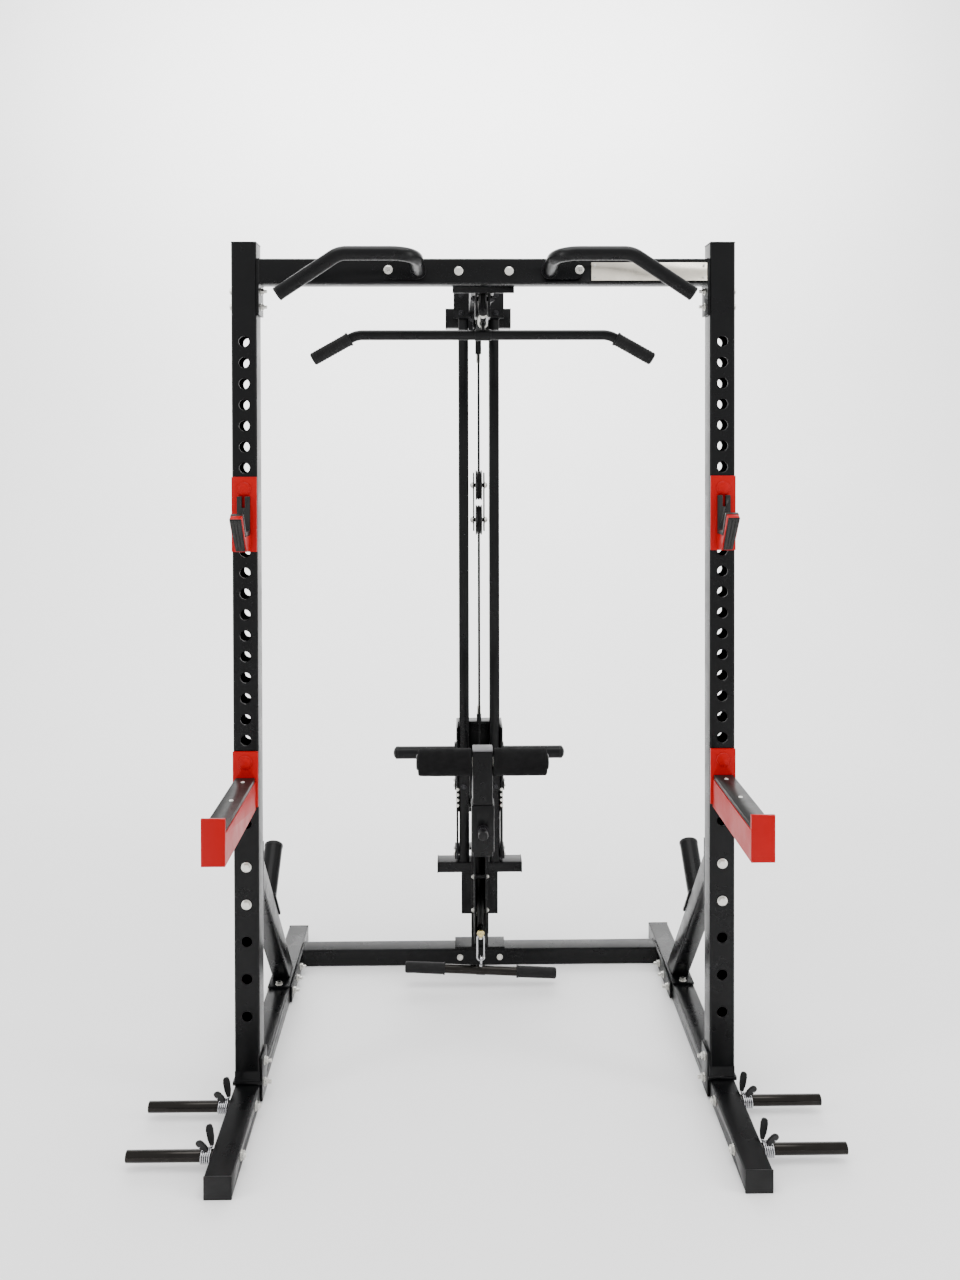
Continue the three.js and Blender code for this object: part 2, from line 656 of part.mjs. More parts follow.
// Weight carriage: side plates outside the guide tubes, closed behind them, with two plate horns.
function carriage() {
  const sides = [-1, 1].map((side) => {
    const xs = [side * 64, side * 70].sort((a, b) => a - b);
    return box([xs[0], 652, CARRIAGE_LOW], [xs[1], 768, CARRIAGE_HIGH]);
  });
  const back = box([-66, 762, 430], [66, 768, CARRIAGE_HIGH]);
  const top = box([-66, CROSS_BACK + 4, CARRIAGE_HIGH - 8], [66, 768, CARRIAGE_HIGH]);
  const foot = box([-66, CROSS_BACK + 4, CARRIAGE_LOW], [66, 768, CARRIAGE_LOW + 8]);
  const eye = box([-7, BACK_RUN - 7, CARRIAGE_HIGH - 1], [7, BACK_RUN + 7, 746 - GAP]);
  const horn = rod([-HORN_END + 8, HORN_Y, HORN_Z], [HORN_END - 8, HORN_Y, HORN_Z], HORN_RADIUS);
  const ends = [-1, 1].map((side) =>
    rod(
      [side * (HORN_END - 8.5), HORN_Y, HORN_Z],
      [side * HORN_END, HORN_Y, HORN_Z],
      HORN_RADIUS,
      16,
      HORN_RADIUS * 0.62,
    ),
  );
  const collars = [-1, 1].map((side) =>
    rod([side * 69, HORN_Y, HORN_Z], [side * 76, HORN_Y, HORN_Z], 32, 20),
  );
  return join(...sides, back, top, foot, eye, horn, ...ends, ...collars);
}

// Knee hold-down arm: sleeve at the front, tube back to a fork that straddles the cable.
function kneeArm() {
  const sleeve = tube("z", [0, KNEE_Y, (SLEEVE_LOW + SLEEVE_HIGH) / 2], TUBE, TUBE, SLEEVE_HIGH - SLEEVE_LOW);
  const pinHole = rod([0, KNEE_Y - 31, PULL_PIN_Z], [0, KNEE_Y - 25, PULL_PIN_Z], 6.5, 12);
  const arm = tube("y", [0, (KNEE_Y + 29.8 + 590) / 2, 585], 50, 50, 590 - KNEE_Y - 29.8);
  const fork = [-1, 1].map((side) => {
    const xs = [side * 24.8, side * 31].sort((a, b) => a - b);
    return box([xs[0], 540, 550], [xs[1], 655, 622]);
  });
  const feet = [-1, 1].map((side) => {
    const xs = [side * 25, side * GUIDE_OUTER].sort((a, b) => a - b);
    return box([xs[0], 652, 530], [xs[1], CROSS_FRONT - GAP, 640]);
  });
  return join(cut(sleeve, pinHole), arm, ...fork, ...feet);
}

// Knee post: square bar in the sleeve with the roller axle across its top.
function kneePost() {
  const half = TUBE / 2 - WALL - 0.8;
  const post = box([-half, KNEE_Y - half, 500], [half, KNEE_Y + half, 778]);
  const axle = rod([-172, KNEE_Y, KNEE_AXLE_Z], [172, KNEE_Y, KNEE_AXLE_Z], 12.5);
  const ends = [-1, 1].map((side) =>
    rod([side * 170.5, KNEE_Y, KNEE_AXLE_Z], [side * 174, KNEE_Y, KNEE_AXLE_Z], 20),
  );
  return join(post, axle, ...ends);
}

function foamRoller(s) {
  const from = s * 27;
  const to = s * 169.5;
  const body = rod([from, KNEE_Y, KNEE_AXLE_Z], [to, KNEE_Y, KNEE_AXLE_Z], ROLLER_RADIUS, 24);
  const bore = rod([from - s, KNEE_Y, KNEE_AXLE_Z], [to + s, KNEE_Y, KNEE_AXLE_Z], 13.1, 16);
  return cut(body, bore);
}

// Pull pin: knob and shank in the front wall of the sleeve.
function pullPin() {
  const front = KNEE_Y - TUBE / 2;
  const shank = rod([0, front - 20, PULL_PIN_Z], [0, front + 2.5, PULL_PIN_Z], 5.8, 12);
  const knob = rod([0, front - 46, PULL_PIN_Z], [0, front - 18, PULL_PIN_Z], 13, 20);
  const flange = rod([0, front - 8, PULL_PIN_Z], [0, front - GAP, PULL_PIN_Z], 11, 6);
  return join(shank, knob, flange);
}

// Lat bar: straight in the middle, angled down at the ends, with grips and an eye on top.
function latBar() {
  const corners = [
    [-421, DROP_Y, 1790],
    [-314, DROP_Y, LAT_Z],
    [314, DROP_Y, LAT_Z],
    [421, DROP_Y, 1790],
  ];
  const bar = sweep(bend(corners, 60, 4), BAR_RADIUS, 12);
  const grips = [-1, 1].map((side) => {
    const root = [side * 330, DROP_Y, LAT_Z - 9];
    const tip = [side * 423, DROP_Y, 1788.9];
    return rod(root, tip, 16.5, 14);
  });
  const eye = rod([-3, DROP_Y, LAT_Z + 18], [3, DROP_Y, LAT_Z + 18], 14, 20);
  const hole = rod([-5, DROP_Y, LAT_Z + 20], [5, DROP_Y, LAT_Z + 20], 7, 16);
  return join(bar, ...grips, cut(eye, hole));
}

// Snap hook: closed loop of wire in the plane across the bar, from low to high.
function snapHook(y, low, high, width, wire) {
  const r = width / 2 - wire;
  const stations = [];
  const turns = 6;
  const top = high - wire - r;
  const bottom = low + wire + r;
  for (let k = 0; k <= turns; k += 1) {
    const angle = (Math.PI * k) / turns;
    stations.push([r * Math.cos(angle), y, top + r * Math.sin(angle)]);
  }
  for (let k = 0; k <= turns - 1; k += 1) {
    const angle = Math.PI + (Math.PI * k) / turns;
    stations.push([r * Math.cos(angle), y, bottom + r * Math.sin(angle)]);
  }
  stations.push([r - 0.4, y, bottom - 0.6]);
  const open = sweep(stations, wire, 6);
  const gate = rod([r, y, bottom - 1], [r, y, top + 1], wire, 6);
  return join(open, gate);
}

// Ball stop and snap hook at the end of the lat cable.
function latHook() {
  return join(ball([0, DROP_Y, 1906], 10), snapHook(DROP_Y, LAT_Z + 13.3 + 3.2, 1903, 26, 3));
}

// Low row handle: chrome bar with two grips and a small bracket, tilted as it hangs.
function rowBar() {
  const bar = rod([-219, 0, 0], [219, 0, 0], BAR_RADIUS);
  const grips = [-1, 1].map((side) => rod([side * 104, 0, 0], [side * 220, 0, 0], 16, 20));
  const bracket = cut(box([-3, -13, 0], [3, 13, 40]), rod([-5, 0, 28], [5, 0, 28], 7, 16));
  const saddle = box([-20, -14, -6], [20, 14, 14]);
  const geometry = geometryOf(join(bar, ...grips, bracket, saddle));
  geometry.rotateY(-ROW_TILT);
  geometry.translate(0, ROW_Y, ROW_Z);
  return solid(geometry);
}

function rowHook() {
  const z = LOW_PULLEY_Z - PULLEY_PITCH;
  return join(ball([0, ROW_Y + 5, z], 11), snapHook(ROW_Y, ROW_Z + 24.6, z + 1, 30, 3.2));
}

// Lat cable: up from the ball stop, back through the arm, down round the floating block, up to its anchor.
function latCable() {
  return sweep(
    [
      [0, DROP_Y, 1906 + 10 + GAP],
      ...wrap(TOP_FRONT_Y, TOP_PULLEY_Z, 180, 90),
      ...wrap(TOP_REAR_Y, TOP_PULLEY_Z, 90, 0),
      ...wrap(TOWER_Y, BLOCK_UPPER_Z, 180, 360, 10),
      [0, BACK_RUN, ANCHOR_LOW],
    ],
    CABLE,
    8,
  );
}

// Row cable: up from the carriage, over the floating block, down to the low pulley and out to the front.
function rowCable() {
  return sweep(
    [
      [0, BACK_RUN, 746],
      ...wrap(TOWER_Y, BLOCK_LOWER_Z, 0, 180, 10),
      ...wrap(TOP_REAR_Y, LOW_PULLEY_Z, 0, -90),
      [0, ROW_Y + 16 + GAP, LOW_PULLEY_Z - PULLEY_PITCH],
    ],
    CABLE,
    8,
  );
}

for (const [side, s] of SIDES) {
  addPart("upright_" + side, upright(s), blackPaint());
  addPart("upright_cap_" + side, uprightCap(s), blackPlastic());
  addPart("base_rail_" + side, baseRail(s), blackPaint());
  addPart("rail_cap_front_" + side, railCap(s, -1), blackPlastic());
  addPart("rail_cap_rear_" + side, railCap(s, 1), blackPlastic());
  addPart("base_bracket_" + side, baseBracket(s), blackPaint());
  addPart("brace_" + side, brace(s), blackPaint());
  addPart("storage_peg_" + side, storagePeg(s), blackPaint());
  addPart("pull_up_handle_" + side, pullUpHandle(s), blackPaint());
  addPart("j_cup_" + side, jCup(s), redPaint());
  addPart("j_cup_liner_" + side, jCupLiner(s), darkPlastic());
  addPart("spotter_arm_" + side, spotterArm(s), redPaint());
  addPart("spotter_liner_" + side, spotterLiner(s), darkPlastic());
  addPart("guide_tube_" + side, guideTube(s), blackPaint());
  addPart("foam_roller_" + side, foamRoller(s), foam());
  PEG_Y.forEach((y, i) => {
    const place = ["front_", "rear_"][i] + side;
    addPart("band_peg_" + place, bandPeg(s, y), chrome());
    addPart("spring_collar_" + place, springCollar(s, y), chrome());
  });
}

addPart("top_beam", topBeam(), blackPaint());
addPart("nameplate", nameplate(), steel());
addPart("rear_crossmember", rearCrossmember(), blackPaint());
addPart("top_arm", topArm(), blackPaint());
addPart("tower_base", towerBase(), blackPaint());
addPart("low_pulley_bracket", lowPulleyBracket(), blackPaint());
addPart("pulley_top_front", pulley(TOP_FRONT_Y, TOP_PULLEY_Z), blackPlastic());
addPart("pulley_top_rear", pulley(TOP_REAR_Y, TOP_PULLEY_Z), blackPlastic());
addPart("pulley_block_upper", pulley(TOWER_Y, BLOCK_UPPER_Z), blackPlastic());
addPart("pulley_block_lower", pulley(TOWER_Y, BLOCK_LOWER_Z), blackPlastic());
addPart("pulley_low", pulley(TOP_REAR_Y, LOW_PULLEY_Z), blackPlastic());
addPart("floating_block", floatingBlock(), blackPaint());
addPart("weight_carriage", carriage(), blackPaint());
addPart("knee_arm", kneeArm(), blackPaint());
addPart("knee_post", kneePost(), blackPaint());
addPart("pull_pin", pullPin(), blackPlastic());
addPart("lat_bar", latBar(), blackPaint());
addPart("lat_hook", latHook(), steel());
addPart("row_bar", rowBar(), chrome());
addPart("row_hook", rowHook(), steel());
addPart("lat_cable", latCable(), cableCoat());
addPart("row_cable", rowCable(), cableCoat());

export default rack;
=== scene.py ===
"""Looks of a half rack with a lat pulldown and low row tower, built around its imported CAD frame.

Lengths in the code are millimetres in the rack's own coordinates (x from the centre plane, y back from
the front faces of the uprights, z up from the floor); at() turns them into metres in the row frame.
"""
import math

import bmesh
import bpy
from mathutils import Matrix, Vector, noise


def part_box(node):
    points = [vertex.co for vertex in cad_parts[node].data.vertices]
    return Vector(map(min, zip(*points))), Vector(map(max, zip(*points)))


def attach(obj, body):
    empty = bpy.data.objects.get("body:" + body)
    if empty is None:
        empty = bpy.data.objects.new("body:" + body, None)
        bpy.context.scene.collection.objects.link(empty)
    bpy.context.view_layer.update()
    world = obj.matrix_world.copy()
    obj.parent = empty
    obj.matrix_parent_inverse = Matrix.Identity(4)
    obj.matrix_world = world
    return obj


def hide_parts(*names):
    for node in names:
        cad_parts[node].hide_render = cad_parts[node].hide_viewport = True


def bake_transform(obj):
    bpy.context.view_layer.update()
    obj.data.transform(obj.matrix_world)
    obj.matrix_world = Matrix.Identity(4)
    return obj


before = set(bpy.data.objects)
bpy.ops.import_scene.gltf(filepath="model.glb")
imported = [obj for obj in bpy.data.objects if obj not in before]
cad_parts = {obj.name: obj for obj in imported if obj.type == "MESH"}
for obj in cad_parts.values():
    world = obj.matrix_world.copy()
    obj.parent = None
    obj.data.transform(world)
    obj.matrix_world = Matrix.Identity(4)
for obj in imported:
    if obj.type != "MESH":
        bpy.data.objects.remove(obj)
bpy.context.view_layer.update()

# ---------------------------------------------------------------- dimensions shared with the frame
MM = 0.001
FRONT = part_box("upright_left")[0].y
POST_X = (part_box("upright_right")[0].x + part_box("upright_right")[1].x) / 2 / MM
POST_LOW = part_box("upright_left")[0].z / MM
POST_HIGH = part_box("upright_left")[1].z / MM
TUBE = 60
INNER_X = POST_X - TUBE / 2
OUTER_X = POST_X + TUBE / 2
GAP = 0.3
PLATE = 6
SIDES = (("left", -1), ("right", 1))

HOLE_RADIUS = 12.5
HOLE_Z = [212, 302, 392] + [675 + 50 * k for k in range(24)]
BRACE_BOLT_Z = (482, 572)
BEAM_Z = 1992
BEAM_BOLT_X = (-60, 60)
HANDLE_BOLT_X = 227
HANDLE_Z = 1994
HANDLE_ROOT_Z = 1991
HANDLE_FRONT_Z = 2006
HANDLE_TIP = (463, 1915)
PEG_Y = (("front", -221), ("rear", -50))
PEG_Z = 30
PEG_END = 790
PEG_RADIUS = 12.5
CROSS_FRONT = 660
CROSS_BACK = 720
CUP_HOLE = 1475
ARM_HOLE = 825
BRACE_TOP = Vector((0, 60, 557))
BRACE_FOOT = Vector((0, 525, 50))
BRACE_HALF = 25

TOWER_Y = 690
PULLEY_PITCH = 42
DROP_Y = 110
TOP_Z = 1945
TOP_FRONT_Y = DROP_Y + PULLEY_PITCH
FRONT_RUN = TOWER_Y - PULLEY_PITCH
BACK_RUN = TOWER_Y + PULLEY_PITCH
TOP_REAR_Y = FRONT_RUN - PULLEY_PITCH
BLOCK_UPPER_Z = 1450
BLOCK_LOWER_Z = 1345
LOW_Z = 192
ANCHOR_Z = 1850
CABLE_RADIUS = 2.8
GUIDE_X = 46
LAT_Z = 1850
ROW_Y = 540
ROW_Z = 47
ROW_TILT = 0.05
KNEE_Y = 255
KNEE_Z = 742
PIN_Z = 572
HORN_Y = 745
HORN_Z = 621


def at(x, y, z):
    return Vector((x * MM, FRONT + y * MM, z * MM))


# ---------------------------------------------------------------- materials
class Nodes:
    """Short names for building one material's node tree."""

    def __init__(self, name):
        self.material = bpy.data.materials.new(name)
        self.material.use_nodes = True
        self.tree = self.material.node_tree
        self.shader = self.tree.nodes["Principled BSDF"]
        self.place = self.add("ShaderNodeTexCoord").outputs["Object"]

    def add(self, kind, **settings):
        node = self.tree.nodes.new(kind)
        for key, value in settings.items():
            setattr(node, key, value)
        return node

    def link(self, source, target):
        self.tree.links.new(source, target)

    def noise(self, scale, detail=4, roughness=0.6, stretch=(1, 1, 1)):
        mapping = self.add("ShaderNodeMapping")
        mapping.inputs["Scale"].default_value = stretch
        self.link(self.place, mapping.inputs["Vector"])
        texture = self.add("ShaderNodeTexNoise")
        texture.inputs["Scale"].default_value = scale
        texture.inputs["Detail"].default_value = detail
        texture.inputs["Roughness"].default_value = roughness
        self.link(mapping.outputs["Vector"], texture.inputs["Vector"])
        return texture.outputs["Fac"]

    def ramp(self, source, stops):
        ramp = self.add("ShaderNodeValToRGB")
        points = ramp.color_ramp.elements
        while len(points) < len(stops):
            points.new(0.5)
        for point, (position, colour) in zip(points, stops):
            point.position = position
            point.color = (*colour, 1)
        self.link(source, ramp.inputs["Fac"])
        return ramp.outputs["Color"]

    def spread(self, source, low, high):
        spread = self.add("ShaderNodeMapRange")
        spread.inputs["From Min"].default_value = 0.3
        spread.inputs["From Max"].default_value = 0.7
        spread.inputs["To Min"].default_value = low
        spread.inputs["To Max"].default_value = high
        self.link(source, spread.inputs["Value"])
        return spread.outputs["Result"]

    def bump(self, height, distance, strength=1.0, under=None):
        bump = self.add("ShaderNodeBump")
        bump.inputs["Distance"].default_value = distance
        bump.inputs["Strength"].default_value = strength
        self.link(height, bump.inputs["Height"])
        if under is not None:
            self.link(under, bump.inputs["Normal"])
        return bump.outputs["Normal"]

    def set(self, **values):
        for key, value in values.items():
            self.shader.inputs[key.replace("_", " ")].default_value = value


def shade(colour, factor):
    return tuple(min(1, c * factor) for c in colour)


def coated_metal(name, colour, roughness, grain, specular, contrast=0.35):
    """Powder coat: orange peel, slight clouding of colour and gloss, and fine dust specks."""
    n = Nodes(name)
    cloud = n.noise(6, 5)
    tone = n.ramp(cloud, [(0.3, shade(colour, 1 - contrast)), (0.7, shade(colour, 1 + contrast))])
    dust = n.add("ShaderNodeMix", data_type="RGBA")
    specks = n.ramp(n.noise(900, 2, 0.5), [(0.66, (0, 0, 0)), (0.74, (1, 1, 1))])
    share = n.add("ShaderNodeMath", operation="MULTIPLY")
    share.inputs[1].default_value = 0.05
    n.link(specks, share.inputs[0])
    n.link(share.outputs[0], dust.inputs["Factor"])
    n.link(tone, dust.inputs["A"])
    dust.inputs["B"].default_value = (*shade(colour, 4), 1)
    n.link(dust.outputs["Result"], n.shader.inputs["Base Color"])
    n.link(n.spread(n.noise(14, 6), roughness * 0.85, roughness * 1.25), n.shader.inputs["Roughness"])
    peel = n.bump(n.noise(420, 2), grain, 0.5)
    fine = n.bump(n.noise(1600, 2), grain * 0.35, 0.4, peel)
    n.link(fine, n.shader.inputs["Normal"])
    n.set(Metallic=0.0, Specular_IOR_Level=specular)
    return n.material


def moulded(name, colour, roughness, grain=0.00012, scale=1400, contrast=0.3, specular=0.35):
    """Moulded plastic, rubber or foam: fine spark-eroded texture and uneven sheen."""
    n = Nodes(name)
    tone = n.ramp(n.noise(18, 5), [(0.3, shade(colour, 1 - contrast)), (0.7, shade(colour, 1 + contrast))])
    n.link(tone, n.shader.inputs["Base Color"])
    n.link(n.spread(n.noise(40, 4), roughness * 0.9, roughness * 1.12), n.shader.inputs["Roughness"])
    n.link(n.bump(n.noise(scale, 3), grain, 0.7), n.shader.inputs["Normal"])
    n.set(Specular_IOR_Level=specular)
    return n.material


def plated(name, colour, roughness, stretch=(1, 1, 1), scratch=0.00002):
    """Bare or plated metal: directional polishing marks and cloudy gloss."""
    n = Nodes(name)
    tone = n.ramp(n.noise(30, 5), [(0.3, shade(colour, 0.86)), (0.7, shade(colour, 1.08))])
    n.link(tone, n.shader.inputs["Base Color"])
    lines = n.noise(260, 4, 0.7, stretch)
    n.link(n.spread(lines, roughness * 0.6, roughness * 1.5), n.shader.inputs["Roughness"])
    n.link(n.bump(lines, scratch, 0.6), n.shader.inputs["Normal"])
    n.set(Metallic=1.0)
    return n.material


BLACK = coated_metal("satin_black_coat", (0.0018, 0.0019, 0.0022), 0.28, 0.00006, 0.16)
RED = coated_metal("red_coat", (0.33, 0.0, 0.001), 0.36, 0.00005, 0.12, contrast=0.06)
PLASTIC = moulded("black_moulding", (0.0035, 0.0035, 0.0038), 0.45, specular=0.22)
DARK_STEEL = plated("blackened_steel", (0.03, 0.03, 0.032), 0.3)
GREY_PLASTIC = moulded("grey_moulding", (0.11, 0.11, 0.115), 0.5)
LINER = moulded("liner_moulding", (0.009, 0.0087, 0.008), 0.42, 0.0001, 700, specular=0.25)
RUBBER = moulded("grip_rubber", (0.005, 0.005, 0.0053), 0.66, 0.00025, 900, specular=0.22)
FOAM = moulded("roller_foam", (0.0035, 0.0035, 0.0037), 0.92, 0.0006, 520, specular=0.15)
NYLON = moulded("pulley_nylon", (0.004, 0.004, 0.0042), 0.38, 0.00005, 800, specular=0.25)
COATED_CABLE = moulded("cable_sheath", (0.003, 0.003, 0.0032), 0.5, 0.00004, 1200, specular=0.1)
CHROME = plated("bright_chrome", (0.5, 0.5, 0.52), 0.1)
# Chrome for the band pegs and row bar with a near-black base colour: a painted dark reflection of dark
# surroundings, which the bright studio would not give real chrome.
CHROME_PAINTED_DARK_REFLECTION = plated("chrome_painted_dark_reflection", (0.022, 0.0205, 0.019), 0.14, (1, 12, 12))
ZINC = plated("zinc_plate", (0.66, 0.65, 0.61), 0.3)
BRUSHED = plated("brushed_plate", (0.62, 0.58, 0.5), 0.32, (0.6, 25, 25), 0.00006)
BRASS = plated("brass_ball", (0.62, 0.5, 0.22), 0.25)


# ---------------------------------------------------------------- mesh building
def finish_piece(name, mesh, material, body, smooth=35):
    """Makes the object, shades it smooth below an angle, and lets it ride on its body."""
    mesh.materials.append(material)
    piece = bpy.data.objects.new(name, mesh)
    bpy.context.scene.collection.objects.link(piece)
    shade_by_angle(mesh, smooth)
    if body:
        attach(piece, body)
    return piece


def shade_by_angle(mesh, degrees):
    mesh.polygons.foreach_set("use_smooth", [True] * len(mesh.polygons))
    mesh.set_sharp_from_angle(angle=math.radians(degrees))


def mesh_of(name, bm):
    bmesh.ops.recalc_face_normals(bm, faces=bm.faces)
    mesh = bpy.data.meshes.new(name)
    bm.to_mesh(mesh)
    bm.free()
    return mesh


def turn_to(direction, origin=(0, 0, 0)):
    """Matrix that carries +Z to the direction, and 0 to the origin, in metres."""
    turned = Vector(direction).to_track_quat("Z", "Y").to_matrix().to_4x4()
    return Matrix.Translation(Vector(origin)) @ turned


def ring(bm, points):
    return [bm.verts.new(p) for p in points]


def stitch(bm, a, b, closed=True):
    count = len(a)
    for i in range(count if closed else count - 1):
        j = (i + 1) % count
        bm.faces.new((a[i], a[j], b[j], b[i]))


def add_lathe(bm, profile, place, sides=48):
    """Turns (radius, height) points, in millimetres, about +Z of the matrix place. Radius 0 closes an end."""
    loops = []
    for radius, height in profile:
        points = []
        for k in range(sides):
            angle = 2 * math.pi * k / sides
            x, y = radius * math.cos(angle), radius * math.sin(angle)
            points.append(place @ (Vector((x, y, height)) * MM))
        if radius < 1e-6:
            loops.append([bm.verts.new(place @ Vector((0, 0, height * MM)))])
        else:
            loops.append(ring(bm, points))
    for a, b in zip(loops, loops[1:]):
        if len(a) == 1:
            for i in range(sides):
                bm.faces.new((a[0], b[(i + 1) % sides], b[i]))
        elif len(b) == 1:
            for i in range(sides):
                bm.faces.new((a[i], a[(i + 1) % sides], b[0]))
        else:
            stitch(bm, a, b)


def lathe(name, profile, origin, direction, material, body, sides=48, smooth=35):
    bm = bmesh.new()
    add_lathe(bm, profile, turn_to(direction, origin), sides)
    return finish_piece(name, mesh_of(name, bm), material, body, smooth)


def rounded_rod(length, radius, edge):
    """Profile of a round bar from 0 to length with rounded ends."""
    steps = 5
    low = []
    for k in range(steps + 1):
        angle = math.pi / 2 * k / steps
        low.append((radius - edge + edge * math.sin(angle), edge - edge * math.cos(angle)))
    high = [(r, length - z) for r, z in reversed(low)]
    return [(0, 0)] + low + high + [(0, length)]


def add_sweep(bm, points, radius, sides=16, caps=True):
    """A round bar through points in metres, its section kept level along the bends."""
    normal = None
    loops = []
    for i, p in enumerate(points):
        before = points[max(i - 1, 0)]
        after = points[min(i + 1, len(points) - 1)]
        along = (after - before).normalized()
        if normal is None:
            normal = along.orthogonal().normalized()
        normal = (normal - along * normal.dot(along)).normalized()
        across = along.cross(normal)
        r = radius[i] if isinstance(radius, (list, tuple)) else radius
        turns = [2 * math.pi * k / sides for k in range(sides)]
        spokes = [normal * math.cos(turn) + across * math.sin(turn) for turn in turns]
        loops.append(ring(bm, [p + spoke * r * MM for spoke in spokes]))
    for a, b in zip(loops, loops[1:]):
        stitch(bm, a, b)
    if caps:
        bm.faces.new(list(reversed(loops[0])))
        bm.faces.new(loops[-1])


def sweep(name, points, radius, material, body, sides=16, caps=True, smooth=40):
    bm = bmesh.new()
    add_sweep(bm, points, radius, sides, caps)
    return finish_piece(name, mesh_of(name, bm), material, body, smooth)


def straight(a, b, step=30):
    """Points from a to b, both in metres, about one step apart."""
    count = max(1, round((b - a).length / MM / step))
    return [a.lerp(b, k / count) for k in range(count + 1)]


def bend(corners, radius, steps=12):
    """Points through corners, in metres, with each inner corner rounded to an arc of radius millimetres."""
    points = [corners[0]]
    for i in range(1, len(corners) - 1):
        back = (corners[i - 1] - corners[i]).normalized()
        ahead = (corners[i + 1] - corners[i]).normalized()
        half = back.angle(ahead) / 2
        r = radius * MM
        centre = corners[i] + (back + ahead).normalized() * (r / math.sin(half))
        start = corners[i] + back * (r / math.tan(half)) - centre
        end = corners[i] + ahead * (r / math.tan(half)) - centre
        axis = start.cross(end).normalized()
        for k in range(steps + 1):
            points.append(centre + Matrix.Rotation((math.pi - 2 * half) * k / steps, 3, axis) @ start)
    points.append(corners[-1])
    return points


def wrap(y, z, low, high, steps=20):
    """Points round a pulley at the cable's radius, from one angle to another in degrees."""
    angles = [math.radians(low + (high - low) * k / steps) for k in range(steps + 1)]
    return [at(0, y + PULLEY_PITCH * math.cos(a), z + PULLEY_PITCH * math.sin(a)) for a in angles]


def rounded_outline(width, height, radius, steps=6):
    points = []
    for cx, cy, start in ((1, 1, 0), (-1, 1, 90), (-1, -1, 180), (1, -1, 270)):
        for k in range(steps + 1):
            angle = math.radians(start + 90 * k / steps)
            x = cx * (width / 2 - radius) + radius * math.cos(angle)
            y = cy * (height / 2 - radius) + radius * math.sin(angle)
            points.append((x, y))
    return points


def add_slab(bm, outline, thickness, place, edge=0.8):
    """Flat plate of an outline in millimetres, its rims chamfered, standing along +Z of the matrix place."""
    cx = sum(p[0] for p in outline) / len(outline)
    cy = sum(p[1] for p in outline) / len(outline)
    size = max(max(abs(p[0] - cx), abs(p[1] - cy)) for p in outline)
    inset = 1 - edge / size
    layers = ((inset, 0), (1, edge), (1, thickness - edge), (inset, thickness))
    loops = []
    for scale, height in layers:
        rim = [Vector((cx + (x - cx) * scale, cy + (y - cy) * scale, height)) for x, y in outline]
        loops.append(ring(bm, [place @ (point * MM) for point in rim]))
    for a, b in zip(loops, loops[1:]):
        stitch(bm, a, b)
    bm.faces.new(list(reversed(loops[0])))
    bm.faces.new(loops[-1])


def slab(name, outline, thickness, origin, direction, material, body, edge=0.8):
    bm = bmesh.new()
    add_slab(bm, outline, thickness, turn_to(direction, origin), edge)
    return finish_piece(name, mesh_of(name, bm), material, body)


def add_block(bm, low, high, edge=1.0):
    """A box between two corners in rack millimetres, with bevelled edges."""
    made = bmesh.ops.create_cube(bm, size=1)
    lo, hi = at(*low), at(*high)
    for v in made["verts"]:
        v.co = Vector(((lo[i] + hi[i]) / 2 + v.co[i] * (hi[i] - lo[i])) for i in range(3))
    edges = list({e for v in made["verts"] for e in v.link_edges})
    bmesh.ops.bevel(bm, geom=edges, offset=edge * MM, segments=2, affect="EDGES", profile=0.5)


def block(name, low, high, material, body, edge=1.0):
    bm = bmesh.new()
    add_block(bm, low, high, edge)
    return finish_piece(name, mesh_of(name, bm), material, body)


# ---------------------------------------------------------------- carried-over CAD nodes
def dress(node, material, bevel=0.8, angle=40):
    """Keeps a CAD node, softens its edges with modifiers and gives it a material."""
    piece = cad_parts[node]
    piece.data.materials.clear()
    piece.data.materials.append(material)
    piece.data.polygons.foreach_set("use_smooth", [True] * len(piece.data.polygons))
    weld = piece.modifiers.new("weld", "WELD")
    weld.merge_threshold = 0.00001
    soft = piece.modifiers.new("soft_edges", "BEVEL")
    soft.width = bevel * MM
    soft.segments = 2
    soft.limit_method = "ANGLE"
    soft.angle_limit = math.radians(angle)
    soft.harden_normals = True


def dress_frame():
    black = ["top_beam", "rear_crossmember", "top_arm", "tower_base", "low_pulley_bracket", "floating_block",
        "knee_arm"]
    for side, _ in SIDES:
        black += [part + side for part in ("base_rail_", "base_bracket_", "brace_", "guide_tube_")]
        for part in ("upright_cap_", "rail_cap_front_", "rail_cap_rear_"):
            dress(part + side, PLASTIC, 1.2)
        dress("j_cup_" + side, RED, 1.0)
        dress("spotter_arm_" + side, RED, 1.2)
        dress("j_cup_liner_" + side, LINER, 1.0)
        dress("spotter_liner_" + side, LINER, 1.0)
    for node in black:
        dress(node, BLACK)
    dress("nameplate", BRUSHED, 0.4)


